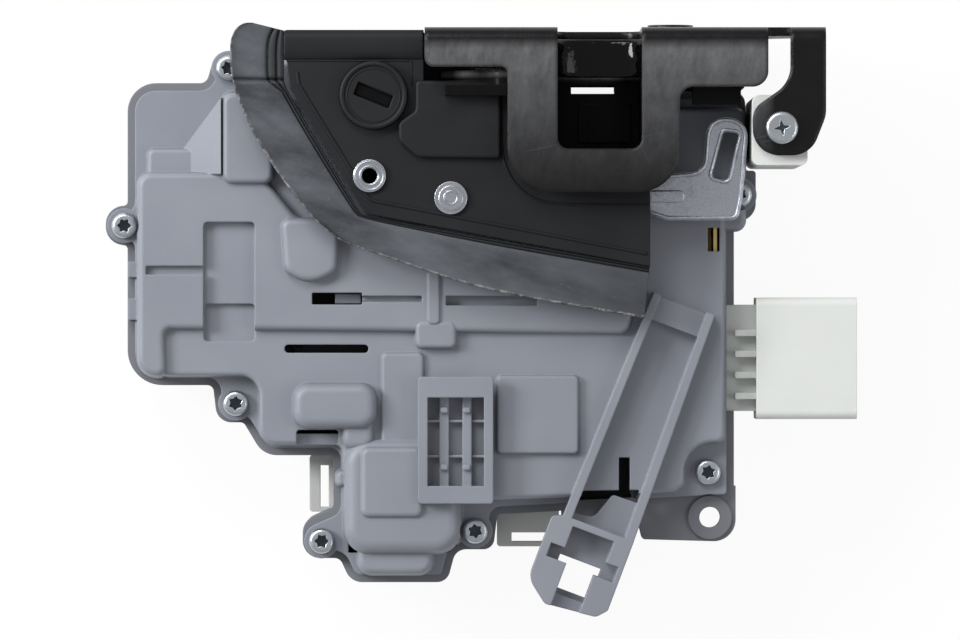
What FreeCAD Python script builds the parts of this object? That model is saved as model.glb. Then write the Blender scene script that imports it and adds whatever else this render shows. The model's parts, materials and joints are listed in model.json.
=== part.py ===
"""Rear door latch actuator: a claw and pawl lock behind a folded steel face plate, with its electric lock drive.

The part lies on its back. x runs to the right and y up as seen from the front, and z comes out of the front.
The origin is on the flat back, level with the middle of the housing. All lengths are in millimetres.
"""
import FreeCAD, Part
import math
import os
import re

from FreeCAD import Placement, Rotation, Vector

SIZES = [
    # Layers of the housing, from the back to the front
    ("rear_wall", 2.0),
    ("rear_deep", 8.0),
    ("base_deep", 18.0),
    ("wall", 2.2),
    ("flange_thick", 3.0),
    ("deck_rise", 5.0),
    ("terrace_rise", 7.2),
    ("bulge_rise", 10.2),
    ("column_rise", 9.0),
    ("rim_step", 1.8),
    ("play", 0.3),
    ("running_fit", 0.05),
    # Fasteners
    ("screw_shank", 1.5),
    ("screw_head", 2.9),
    ("screw_head_high", 2.2),
    ("screw_long", 14.0),
    ("screw_recess", 1.7),
    ("hook_screw_head", 3.7),
    ("hook_screw_recess", 1.9),
    ("boss_round", 4.0),
    ("fixing_hole", 2.4),
    # Steel face plate and its flanges
    ("plate_top", 66.0),
    ("plate_thick", 2.0),
    ("plate_left", -12.5),
    ("plate_right", 78.0),
    ("plate_low", 2.0),
    ("flange_face", 53.0),
    ("u_right", 65.0),
    ("u_low", 28.7),
    ("u_outer_left", 6.2),
    ("u_outer_right", 45.1),
    ("arm_low", 57.0),
    ("slot_left", 17.5),
    ("slot_right", 36.5),
    ("slot_end", 38.5),
    ("slot_floor", 17.0),
    ("bolt_hole", 3.4),
    ("bolt_left", -3.0),
    ("bolt_right", 61.0),
    ("bolt_level", 43.0),
    # Claw and pawl, which turn about pins along y
    ("claw_x", 43.5),
    ("claw_z", 25.0),
    ("claw_rim", 17.0),
    ("claw_reach", 23.0),
    ("claw_thick", 4.8),
    ("claw_turn", 65.0),
    ("claw_pin_round", 5.0),
    ("striker_round", 6.0),
    ("striker_play", 0.3),
    ("pawl_x", 12.0),
    ("pawl_z", 11.0),
    ("pawl_pin_round", 2.6),
    ("pin_neck", 1.0),
    ("pin_head", 1.2),
    ("back_plate_thick", 1.8),
    ("spring_wire", 0.7),
    # Black moulding behind the face plate
    ("pocket_wall", 2.5),
    ("pocket_back", 6.0),
    ("slit_left", 20.9),
    ("slit_right", 30.9),
    ("slit_wide", 1.8),
    ("carrier_thick", 2.0),
    # Black panel and its rubber lip
    ("panel_back", 43.5),
    ("panel_thick", 2.5),
    ("panel_wall", 2.0),
    ("pad_rise", 1.4),
    ("lip_back", 42.6),
    ("lip_thick", 2.6),
    ("rotor_x", -24.1),
    ("rotor_y", 50.7),
    ("rotor_round", 7.7),
    ("rotor_rise", 2.2),
    ("rotor_slot_long", 8.6),
    ("rotor_slot_wide", 3.2),
    ("rotor_slot_deep", 1.6),
    ("rotor_tilt", -22.0),
    ("hollow_x", -25.0),
    ("hollow_y", 32.5),
    ("solid_x", -6.6),
    ("solid_y", 27.5),
    ("rivet_head", 3.7),
    ("rivet_shank", 2.5),
    ("rivet_bore", 1.8),
    # Outside release lever
    ("lever_back", 40.6),
    ("lever_thick", 2.0),
    ("lever_x", 27.0),
    ("lever_y", 27.8),
    ("lever_pin", 2.2),
    # Lock drive: motor, worm, wheel and slider
    ("drive_x", -17.6),
    ("drive_z", 19.6),
    ("motor_wide", 24.0),
    ("motor_high", 18.8),
    ("motor_low", -50.2),
    ("motor_long", 23.2),
    ("shaft_round", 1.5),
    ("gear_module", 0.8),
    ("wheel_teeth", 30),
    ("wheel_y", -13.5),
    ("wheel_thick", 3.0),
    ("wheel_reach", 14.9),
    ("axle_round", 2.0),
    ("worm_root", 1.95),
    ("worm_tip", 3.6),
    ("worm_long", 12.0),
    ("pinion_teeth", 12),
    ("pinion_thick", 4.0),
    ("slider_back", 14.3),
    ("slider_thick", 3.4),
    ("slider_wide", 5.0),
    ("slider_travel", 5.0),
    # Lever that the inside handle's cable pulls
    ("inside_lever_back", 20.0),
    ("inside_pin", 2.0),
    # Plug socket
    ("plug_left", 63.0),
    ("plug_right", 85.9),
    ("plug_low", -22.7),
    ("plug_high", 5.0),
    ("plug_back", 10.0),
    ("plug_front", 31.0),
    ("plug_wall", 1.7),
    ("neck_low", -20.9),
    ("neck_high", 3.4),
    ("neck_back", 13.0),
    ("neck_front", 25.6),
    ("pin_side", 0.8),
    # Cable channel, slanted from the right middle to below the housing
    ("channel_x", 46.4),
    ("channel_y", 3.6),
    ("channel_tilt", -20.7),
    ("channel_long", 75.0),
    ("channel_wide", 14.8),
    ("channel_wall", 1.8),
    ("channel_floor", 2.0),
    ("channel_high", 7.0),
    ("channel_end_left", 11.1),
    ("channel_end_right", 8.4),
    ("channel_end_long", 20.4),
    ("tongue_long", 8.2),
]

SCREWS = [(-81.1, 21.4), (-55.7, -19.1), (-36.1, -50.5), (-1.1, -48.2), (52.0, -34.8), (59.1, 28.4), (-57.3, 57.3)]
FIXING_EAR = (52.5, -45.2)
EAR_BOSS = 5.0
HOOK_SCREW = (68.0, 43.2)

# Outlines: each corner as x, y and the radius that rounds it
HOUSING = [
    (-80.5, 54.0, 6.5), (-62.5, 54.0, 2.0), (-60.5, 61.0, 4.0), (-15.0, 61.0, 1.0), (-15.0, 50.0, 1.0),
    (13.4, 50.0, 0.8), (13.4, 34.6, 0.8), (40.6, 34.6, 0.8), (40.6, 52.2, 0.8), (60.6, 52.2, 3.0),
    (60.6, 34.0, 0.8), (63.0, 34.0, 0.8), (63.0, 24.0, 4.0), (58.0, 21.5, 0.8), (58.0, -41.5, 2.5),
    (4.0, -44.5, 0.8), (3.0, -52.5, 2.5), (-5.5, -52.5, 3.0), (-7.5, -60.0, 3.0), (-29.5, -60.0, 4.0),
    (-32.0, -54.5, 2.0), (-40.5, -54.5, 4.0), (-40.5, -46.0, 4.0), (-33.5, -43.0, 1.5), (-33.5, -31.0, 0.8),
    (-49.5, -31.0, 5.5), (-54.0, -23.5, 1.5), (-60.0, -23.5, 3.6), (-61.0, -15.0, 1.5), (-80.5, -15.0, 8.0),
    (-80.5, 17.0, 1.0), (-85.5, 17.0, 4.2), (-85.5, 26.0, 4.2), (-80.5, 26.0, 1.0),
]
EAR = [(34.0, -38.0, 0.0), (58.4, -38.0, 0.0), (58.4, -50.8, 5.0), (37.0, -50.2, 1.0)]
PANEL = [
    (-44.5, 65.5, 0.8), (-12.8, 65.5, 0.0), (-12.8, 52.4, 0.8), (14.2, 52.4, 0.0), (14.2, 35.0, 0.8),
    (38.5, 35.0, 0.5), (38.5, 12.0, 0.0), (-26.0, 24.0, 2.5), (-43.0, 52.5, 1.0),
]
LIP = [
    (-44.5, 64.5, 0.0), (-49.5, 67.5, 2.0), (-54.5, 65.5, 2.5), (-56.5, 60.0, 4.5), (-55.5, 51.0, 6.0),
    (-46.5, 30.0, 11.0), (-30.5, 15.5, 9.0), (0.0, 7.0, 13.5), (37.5, 0.0, 0.5), (39.0, 12.5, 0.0),
    (-25.0, 26.5, 2.0), (-41.0, 53.0, 0.0),
]
LEVER = [
    (22.5, 31.4, 3.0), (33.0, 31.6, 2.0), (38.5, 32.8, 1.0), (50.5, 33.5, 3.0), (51.5, 46.0, 4.5),
    (61.0, 45.5, 4.5), (59.5, 27.5, 1.0), (58.5, 22.5, 2.0), (42.5, 22.5, 1.0), (36.0, 24.5, 2.0), (22.5, 25.4, 3.0),
]
LEVER_SLOT = [(55.2, 42.6, 0.9), (58.7, 42.2, 0.9), (56.0, 31.4, 0.9), (52.4, 32.3, 0.9)]
PAWL = [
    (7.6, 15.2, 3.8), (16.0, 15.0, 3.0), (20.0, 8.6, 2.0), (30.4, 8.4, 0.8), (31.2, 10.2, 0.5),
    (34.0, 10.0, 0.6), (35.0, 4.6, 1.0), (20.0, 4.4, 3.0), (7.6, 6.8, 3.8),
]
INSIDE_LEVER = [(42.2, 17.8, 3.2), (52.0, 18.5, 3.2), (52.2, 12.0, 2.0), (44.0, 9.0, 1.5), (40.5, -4.0, 1.5),
                (36.0, -3.0, 1.5), (38.4, 10.5, 2.0)]
INSIDE_PIVOT = (47.2, 14.6)
# Pin necks through the steel plates: x, z and radius
PIN_NECKS = [(43.5, 25.0, 4.0), (12.0, 11.0, 1.6)]
PIN_ROWS = (17.0, 21.5)
BEND = 3.0
HOOK_GAP = 5.0
WORM_PHASE = 180.0
GUSSET_SPAN = (-72.0, -58.8, 33.0, 50.5)
COLUMN = ((-59.4, 30.0), (-46.0, 52.4))
LOOPS = [((-39.3, -31.4), (-44.3, -31.2), (-36.8, -34.9), (-43.2, -33.6)),
         ((3.9, 18.2), (-52.3, -42.4), (7.3, 16.4), (-51.1, -49.1))]

# Jaws of the cable channel's end: limits across it, and their reach below and above the jaws' upper edge
JAWS = [((-10.0, -5.8), 5.2, 0.2), ((-10.0, -4.2), 16.0, -8.4), ((4.2, 8.0), 5.1, 0.2), ((2.5, 8.0), 16.0, -8.8)]
JAW_GAP = (-4.2, 2.5)
HOOK_SLOT = ((31.6, 34.1), (-38.9, -31.4))

# Raised forms of the cover: low corner, high corner, height above the flange, corner radius, edge radius
FORMS = {
    "deck_top": ((-53.0, 30.0), (-16.0, 59.0), 5.0, 5.0, 1.0),
    "deck_right": ((10.0, 20.0), (60.8, 48.6), 4.2, 2.0, 1.0),
    "corner_box": ((-76.2, 30.0), (-64.0, 39.4), 3.6, 1.4, 1.0),
    "rib": ((-12.9, -2.0), (-8.2, 12.0), 7.9, 1.0, 0.5),
    "tab": ((-15.5, -7.4), (-4.5, 0.5), 7.5, 1.4, 1.0),
    "worm_strip": ((-23.2, -30.0), (-12.0, -6.8), 6.2, 1.2, 0.8),
    "dome": ((-43.4, -25.6), (-22.6, -13.6), 9.6, 3.4, 2.2),
    "dome_lobe": ((-32.0, -30.2), (-23.4, -18.0), 7.4, 2.6, 1.6),
    "pad_right": ((3.0, -31.3), (23.2, -11.9), 6.6, 1.0, 0.6),
    "pad_left": ((-28.0, -45.9), (-12.0, -28.0), 9.0, 1.6, 1.2),
    "motor_lug": ((-33.2, -38.5), (-27.0, -33.8), 5.2, 1.0, 0.8),
    "motor_dome": ((-31.6, -54.0), (-3.6, -26.4), 7.8, 5.5, 3.0),
    "motor_foot": ((-28.5, -58.6), (-10.2, -50.0), 5.0, 3.0, 1.6),
    "frame_seat": ((-14.1, -41.8), (3.0, -13.0), 9.2, 1.0, 0.6),
}
DECK_OUTLINE = [
    (-51.5, 33.0, 3.0), (-51.5, 5.0, 0.0), (-77.6, 5.0, 0.0), (-77.6, -13.4, 7.0), (-50.9, -13.4, 3.6),
    (-50.9, -29.0, 4.6), (-32.0, -29.0, 1.0), (-31.5, -41.0, 2.0), (4.5, -41.5, 1.5), (44.6, -39.8, 1.0),
    (47.0, -37.8, 1.5), (47.2, -28.8, 6.0), (56.3, -28.4, 2.4), (56.3, 33.0, 2.0),
]
# The terrace: the higher part of the deck, down to the fold across the cover
TERRACE = [
    (-78.6, -13.6, 5.0), (-70.6, -13.6, 2.6), (-71.0, -2.9, 0.8), (34.5, -4.1, 3.4), (37.6, 10.6, 3.4),
    (-27.6, 22.6, 12.0), (-41.2, 24.0, 3.0), (-49.6, 34.2, 3.6), (-78.6, 34.2, 4.0),
]
BULGE = [
    (-46.4, 24.0, 3.0), (-45.4, 10.4, 3.6), (-38.7, 6.6, 8.0), (-31.6, 10.2, 3.6), (-30.4, 24.0, 3.0),
]
# Tabs of the cover over the rim of the base: limits along y
RIM_TABS = [(9.6, 13.2), (-0.1, 4.8)]

# Spaces behind the raised forms: limits along x and y, and the height of the form above
HOLLOWS = [
    ((-49.0, -16.0), (5.5, 31.0), 5.0), ((-17.0, 54.4), (4.8, 31.0), 5.0), ((-16.0, 53.0), (-11.0, 5.0), 4.9),
    ((-42.0, -24.0), (-26.0, -9.0), 5.0), ((-49.0, -15.0), (-8.0, 6.0), 5.0), ((6.0, 44.0), (-37.0, -10.0), 5.0),
    ((-30.0, -5.2), (-53.2, -26.6), 4.6), ((-50.0, -18.0), (29.0, 56.0), 5.0), ((-74.0, -64.8), (14.0, 31.0), 7.0),
    ((-74.5, -64.8), (0.0, 9.0), 7.0), ((-21.8, -12.2), (-56.8, -52.0), 4.6), ((-41.0, -34.0), (12.5, 22.0), 9.0),
    ((-40.5, -26.0), (-23.0, -16.0), 9.0), ((-13.0, -3.0), (-27.0, -12.0), 5.0),
]
# Recesses, slots and windows from the front: limits along x and y, the floor above the flange, corner radius
RECESSES = [
    ((-62.9, -51.2), (1.3, 22.2), 5.2, 1.0), ((-62.9, -51.2), (-5.0, 3.6), 3.9, 1.0),
    ((-76.0, -62.0), (10.2, 12.2), 5.8, 0.4), ((-38.2, -26.8), (3.4, 6.1), -6.0, 0.3),
    ((-26.8, -13.2), (4.0, 5.4), 5.4, 0.3), ((-7.8, 13.0), (3.2, 5.4), 4.6, 0.3),
    ((-44.5, -25.4), (-7.6, -5.7), -6.0, 0.9), ((-41.8, -32.2), (-28.9, -25.1), 2.4, 0.8),
    ((51.8, 54.5), (15.5, 20.9), -6.0, 0.3), ((-13.1, 2.2), (-39.0, -16.3), 5.2, 0.4),
]

doc = FreeCAD.newDocument("DoorLatchActuator")
sheet = doc.addObject("Spreadsheet::Sheet", "Sizes")
for row, (alias, value) in enumerate(SIZES, 1):
    sheet.set(f"A{row}", alias)
    sheet.set(f"B{row}", str(value))
    sheet.setAlias(f"B{row}", alias)
doc.recompute()

PARTS = []


def size(alias):
    """The value of one cell of the sheet."""
    return float(sheet.get(alias))


def linked(text):
    """The expression with each alias pointing at the sheet."""
    return re.sub(r"[a-z]\w*", lambda word: "Sizes." + word.group(), str(text))


def keep(node, name):
    """Lists a finished sub-part, which is written under its label."""
    node.Label = name
    PARTS.append(node)
    return node


def box(name, x, y, z):
    """A block between a low and a high limit along x, y and z, each an expression."""
    block = doc.addObject("Part::Box", name)
    for axis, length, (low, high) in zip("xyz", ("Length", "Width", "Height"), (x, y, z)):
        block.setExpression(length, linked(f"({high}) - ({low})"))
        block.setExpression("Placement.Base." + axis, linked(low))
    return block


TURNS = {"x": Rotation(Vector(0, 1, 0), 90), "y": Rotation(Vector(1, 0, 0), -90), "z": Rotation()}


def rod(name, radius, at, low, high, along="z"):
    """A round rod along one axis, between two limits; at holds its place on the other two axes."""
    bar = doc.addObject("Part::Cylinder", name)
    bar.Placement = Placement(Vector(), TURNS[along])
    bar.setExpression("Radius", linked(radius))
    bar.setExpression("Height", linked(f"({high}) - ({low})"))
    places = dict(zip([axis for axis in "xyz" if axis != along], at))
    places[along] = low
    for axis, place in places.items():
        bar.setExpression("Placement.Base." + axis, linked(place))
    return bar


def fuse(name, *shapes):
    """One solid out of several that overlap."""
    union = doc.addObject("Part::MultiFuse", name)
    union.Shapes = list(shapes)
    union.Refine = True
    return union


def cut(name, base, *tools):
    """The base without the tools."""
    difference = doc.addObject("Part::Cut", name)
    difference.Base = base
    difference.Tool = tools[0] if len(tools) == 1 else fuse(name + "_tools", *tools)
    return difference


def group(name, shapes):
    """Separate solids that share one node."""
    together = doc.addObject("Part::Compound", name)
    together.Links = list(shapes)
    return together


def inset(points, distance):
    """The outline moved inwards: each side by the distance, its corner radii with it."""
    count = len(points)
    moved = []
    for index, (x, y, radius) in enumerate(points):
        here = Vector(x, y, 0)
        before = (here - Vector(*points[index - 1][:2], 0)).normalize()
        after = (Vector(*points[(index + 1) % count][:2], 0) - here).normalize()
        turn = before.cross(after).z
        shift = (after - before) * (1 / turn)
        corner = here + shift * distance * winding(points)
        outward = turn * winding(points) < 0
        moved.append((corner.x, corner.y, max(radius + distance if outward else radius - distance, 0.3)))
    return moved


def winding(points):
    """1 for an outline that runs anticlockwise, -1 for clockwise."""
    pairs = zip(points, points[1:] + points[:1])
    return math.copysign(1, sum(a[0] * b[1] - b[0] * a[1] for a, b in pairs))


def rounded(points):
    """Edges of a closed outline: straight runs joined by an arc at each corner that has a radius."""
    ends = []
    for index, (x, y, radius) in enumerate(points):
        here = Vector(x, y, 0)
        back = (Vector(*points[index - 1][:2], 0) - here).normalize()
        on = (Vector(*points[(index + 1) % len(points)][:2], 0) - here).normalize()
        half = back.getAngle(on) / 2
        if radius == 0:
            ends.append((here, None, here))
            continue
        run = radius / math.tan(half)
        middle = (back + on).normalize() * (radius / math.sin(half) - radius)
        ends.append((here + back * run, here + middle, here + on * run))
    edges = []
    for index, (start, middle, end) in enumerate(ends):
        if middle is not None:
            edges.append(Part.ArcOfCircle(start, middle, end))
        following = ends[(index + 1) % len(ends)][0]
        if (following - end).Length > 1e-6:
            edges.append(Part.LineSegment(end, following))
    return edges


def circle(x, y, radius):
    """A round hole or disc in a sketch."""
    return [Part.Circle(Vector(x, y, 0), Vector(0, 0, 1), radius)]


def plate(name, edges, low, high, plane="XY_Plane", draft=0):
    """A body padded from a sketch between two limits along the sketch plane's normal."""
    body = doc.addObject("PartDesign::Body", name)
    sketch = body.newObject("Sketcher::SketchObject", name + "_outline")
    support = next(item for item in body.Origin.OriginFeatures if item.Role == plane)
    sketch.AttachmentSupport = (support, "")
    sketch.MapMode = "FlatFace"
    sketch.addGeometry(edges, False)
    # The x-z plane faces backwards along y, so a plate on it starts at its high side
    start = f"-({high})" if plane == "XZ_Plane" else low
    sketch.setExpression("AttachmentOffset.Base.z", linked(start))
    pad = body.newObject("PartDesign::Pad", name + "_pad")
    pad.Profile = sketch
    pad.setExpression("Length", linked(f"({high}) - ({low})"))
    pad.TaperAngle = -draft
    return body


def outer_top(shape, level):
    """Numbers of the edges that lie in the plane at a level of z."""
    return [number for number, edge in enumerate(shape.Edges, 1)
            if abs(edge.BoundBox.ZMin - level) < 1e-4 and abs(edge.BoundBox.ZMax - level) < 1e-4]


def soften(body, radius, level):
    """Rounds the edges of a body that lie at a level of z."""
    doc.recompute()
    pad = body.Tip
    fillet = body.newObject("PartDesign::Fillet", body.Name + "_soft")
    fillet.Base = (pad, [f"Edge{number}" for number in outer_top(pad.Shape, level)])
    fillet.Radius = radius
    return body


def rectangle(low, high, radius):
    """Corners of a rectangle, all with one radius."""
    return [(low[0], low[1], radius), (high[0], low[1], radius), (high[0], high[1], radius),
            (low[0], high[1], radius)]


def star(radius, points, depth):
    """Edges of a star recess: lobes and hollows in turn."""
    corners = []
    for step in range(2 * points):
        reach = radius if step % 2 == 0 else radius * depth
        angle = math.pi * step / points
        corners.append((reach * math.cos(angle), reach * math.sin(angle), 0.0))
    return rounded(corners)


# Levels of z that several pieces share
BASE_LOW = "rear_deep"
FLOOR = "rear_deep + wall"
BASE_TOP = "rear_deep + base_deep"
FLANGE_TOP = BASE_TOP + " + flange_thick"
DECK = FLANGE_TOP + " + deck_rise"
CHANNEL_BACK = DECK + " - channel_floor - 1"
flange_level = size("rear_deep") + size("base_deep") + size("flange_thick")
draft_angle = 5.0


def housing_base():
    """Tray behind the cover: floor, walls, screw bosses and the seats of the drive."""
    outline = rounded(HOUSING)
    shell = plate("base_shell", outline, BASE_LOW, BASE_TOP)
    hollow = plate("base_hollow", rounded(inset(HOUSING, size("wall"))), FLOOR, BASE_TOP + " + 1")
    ear = plate("base_ear", rounded(EAR), BASE_TOP + " - 5", BASE_TOP)
    shelf = box("channel_shelf", (18.6, 30.0), (-46.4, -41.6), (BASE_TOP + " - 8", BASE_TOP))
    ear_boss = rod("ear_boss", EAR_BOSS, FIXING_EAR, BASE_TOP + " - 6", BASE_TOP + " + 0.8")
    ear_hole = rod("ear_hole", "fixing_hole", FIXING_EAR, BASE_TOP + " - 7", BASE_TOP + " + 2")
    bosses = [rod(f"base_boss_{number}", "boss_round - running_fit", at, BASE_LOW, BASE_TOP)
              for number, at in enumerate(SCREWS, 1)]
    holes = [rod(f"base_screw_hole_{number}", "screw_shank + running_fit", at,
                 FLANGE_TOP + " - screw_long - 0.5", BASE_TOP + " + 1")
             for number, at in enumerate(SCREWS, 1)]
    wheel_boss = rod("wheel_boss", 3.6, ("drive_x - wheel_reach", "wheel_y"), FLOOR,
                     "drive_z - wheel_thick / 2 - pinion_thick - play")
    wheel_hole = rod("wheel_boss_hole", "axle_round", ("drive_x - wheel_reach", "wheel_y"), FLOOR, "drive_z")
    lever_boss = rod("inside_lever_boss", 4.0, INSIDE_PIVOT, FLOOR, "inside_lever_back - play")
    lever_hole = rod("inside_lever_hole", "inside_pin", INSIDE_PIVOT, FLOOR, BASE_TOP)
    motor_x = ("drive_x - motor_wide / 3", "drive_x + motor_wide / 3")
    below_shaft = (FLOOR, "drive_z - shaft_round - play")
    cradle_front = box("cradle_front", motor_x, ("motor_low + motor_long + 0.1", "motor_low + motor_long + 2"),
                       below_shaft)
    cradle_end = box("cradle_end", motor_x, ("motor_low - 2.1", "motor_low - 0.1"), (FLOOR, "drive_z"))
    worm_end = "wheel_y + worm_long / 2 + 1"
    bearing = box("shaft_bearing", ("drive_x - 3", "drive_x + 3"), (worm_end, worm_end + " + 3"),
                  (FLOOR, "drive_z + 3"))
    bearing_hole = rod("shaft_bearing_hole", "shaft_round + running_fit", ("drive_x", "drive_z"), worm_end + " - 1",
                       worm_end + " + 4", "y")
    pinion_round = "gear_module * pinion_teeth / 2"
    rail_y = (f"wheel_y + {pinion_round} + 2.2", f"wheel_y + {pinion_round} + 4.2")
    rail = box("slider_rail", ("drive_x - wheel_reach - 24", "drive_x - wheel_reach + 7"), rail_y,
               (FLOOR, "slider_back - play"))
    neck_notch = box("neck_notch", ("plug_left - 9", "plug_left - 1"), ("neck_low", "neck_high"),
                     ("neck_back", BASE_TOP + " + 1"))
    tray = cut("base_tray", shell, hollow)
    seats = [wheel_boss, lever_boss, cradle_front, cradle_end, bearing, rail]
    solid = fuse("base_solid", tray, ear, ear_boss, shelf, *seats, *bosses)
    return keep(cut("base", solid, ear_hole, wheel_hole, lever_hole, bearing_hole, neck_notch, *holes),
                "housing_base")


def height(rise):
    """A height above the flange, given as a number or as the name of a size."""
    return size(rise) if isinstance(rise, str) else rise


def raised_form(name, low, high, rise, corner, soft):
    """One raised form of the cover: a drafted block with rounded corners and a soft upper edge."""
    spread = (height(rise) + size("flange_thick")) * math.tan(math.radians(draft_angle))
    return drafted(name, rectangle(low, high, corner + spread), rise, soft)


def drafted(name, outline, rise, soft):
    """A drafted plate of the cover with a soft upper edge, up to a height above the flange."""
    body = plate(name, rounded(outline), BASE_TOP, f"{FLANGE_TOP} + {rise}", draft=draft_angle)
    return soften(body, soft, flange_level + height(rise))


def gusset():
    """Sloping web from the corner of the cover to its column: a roof section within a triangle."""
    crest = flange_level + size("column_rise") - 0.3
    left, right, low, high = GUSSET_SPAN
    section = [(left, flange_level - 1, 0), (right, flange_level - 1, 0), (right, crest, 0)]
    roof = plate("gusset_roof", rounded(section), low, high, "XZ_Plane")
    plan = plate("gusset_plan", rounded([(left, low, 0), (right, low, 0), (right, high, 0)]), BASE_TOP,
                 DECK + " + 9")
    web = doc.addObject("Part::Common", "gusset")
    web.Base = roof
    web.Tool = plan
    return web


def channel_place(shape):
    """Puts a shape from the channel's own axes on the slanted centre line."""
    shape.Placement = Placement(Vector(), Rotation(Vector(0, 0, 1), size("channel_tilt")))
    shape.setExpression("Placement.Base.x", linked("channel_x"))
    shape.setExpression("Placement.Base.y", linked("channel_y"))
    return shape


def channel_outlines():
    """Outlines of the channel's pieces, across it and down it from the middle of the housing."""
    half, wall, end = size("channel_wide") / 2, size("channel_wall"), -size("channel_long")
    block_left, block_right = -size("channel_end_left"), size("channel_end_right")
    block = end + size("channel_end_long")
    jaws = block - 1.6
    tongue = block - size("tongue_long")
    inner = half - wall
    return {
        "rail_left": [(-half, 0.0, 0.3), (-inner, 0.0, 0.3), (-inner - 1.1, jaws, 0.0), (-half - 1.4, jaws, 0.0)],
        "rail_right": [(inner - 0.2, 0.0, 0.3), (half, 0.0, 0.3), (block_right, jaws, 0.0), (inner + 0.6, jaws, 0.0)],
        "floor": [(-half + 0.5, -5.0, 0.0), (half - 0.5, -5.0, 0.0), (half - 0.3, -42.4, 0.0),
                  (-half + 0.3, -47.8, 0.0)],
        "tongue": [(half, tongue + 16.6, 0.3), (0.2, tongue + 16.4, 1.0), (-2.0, tongue + 10.0, 2.2),
                   (-half - 0.4, tongue + 9.2, 0.3), (-half - 0.4, tongue, 0.0), (half, tongue, 0.0)],
        "trough": [(-inner, -6.0, 0.0), (inner - 0.1, -6.0, 0.0), (inner + 0.8, jaws - 1.0, 0.0),
                   (-inner - 1.2, jaws - 1.0, 0.0)],
        "mouth": [(-inner - 0.8, -47.9, 0.3), (inner, -43.2, 0.3), (inner, tongue + 16.6, 0.0),
                  (0.2, tongue + 16.4, 1.0), (-2.0, tongue + 10.0, 2.2), (-inner - 0.8, tongue + 9.4, 0.3)],
        "end": [(-half - 0.9, block, 0.3), (block_left, block - 1.0, 1.2), (block_left, end + 4.2, 4.4),
                (-5.6, end, 2.0), (6.4, end + 1.3, 2.0), (block_right, end + 3.6, 1.2), (block_right, block, 0.0)],
    }


def channel_piece(name, outline, low, high):
    """A plate of the channel with one of its outlines."""
    return plate(f"channel_{name}", rounded(outline), low, high)


def channel():
    """Cable channel: two rails that spread a little, on a floor that ends in a tongue and an end block."""
    top = CHANNEL_BACK + " + channel_high"
    floor_top = CHANNEL_BACK + " + channel_floor"
    outlines = channel_outlines()
    pieces = [channel_piece(name, outlines[name], CHANNEL_BACK, floor_top) for name in ("floor", "tongue")]
    pieces += [channel_piece(name, outlines[name], CHANNEL_BACK, top) for name in ("rail_left", "rail_right", "end")]
    ramp = box("channel_ramp", ("-channel_wide / 2 + 1", "channel_wide / 2 - 1"), (-6, -0.4),
               (CHANNEL_BACK, DECK + " + 1.5"))
    return channel_place(fuse("channel_body", ramp, *pieces))


def channel_space():
    """The open space between the rails."""
    above = DECK + " + 12"
    trough = channel_piece("trough", channel_outlines()["trough"], CHANNEL_BACK + " + channel_floor", above)
    inner = "channel_wide / 2 - channel_wall"
    entry = box("channel_entry", (f"-({inner})", inner), (-6.5, 0), (DECK + " + 1.5", above))
    return channel_place(fuse("channel_clear", trough, entry))


def channel_pockets():
    """Space in the channel's end, where the cable's ferrule snaps in behind the jaws."""
    above = DECK + " + 12"
    levels = (CHANNEL_BACK + " + channel_floor", above)
    jaws = "channel_end_long - channel_long - 1.6"
    across = ("-channel_end_left + channel_wall + 0.2", "channel_end_right - 1.2")
    space = box("end_space", across, (f"{jaws} - 15.6", jaws), levels)
    blocks = [box(f"jaw_{number}", x, (f"{jaws} - {low}", f"{jaws} + {high}"), levels)
              for number, (x, low, high) in enumerate(JAWS)]
    bridge = box("end_bridge_space", JAW_GAP, (f"{jaws} - 21", f"{jaws} - 15"), (levels[0] + " + 2", above))
    return channel_place(fuse("channel_pockets", cut("ferrule_space", space, *blocks), bridge))


def channel_windows():
    """Openings through the channel's floor: the end window and the mouth above the tongue."""
    levels = (BASE_TOP + " - 1", DECK + " + 3")
    edge = "channel_end_long - channel_long - tongue_long"
    window = box("channel_window", JAW_GAP, (f"{edge} - 7.8", f"{edge} - 0.4"), levels)
    wide = box("channel_window_wide", (-6.2, 3.6), (f"{edge} - 2.2", f"{edge} - 0.4"), levels)
    mouth = channel_piece("mouth", channel_outlines()["mouth"], *levels)
    return channel_place(fuse("channel_through", window, wide, mouth))


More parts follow.
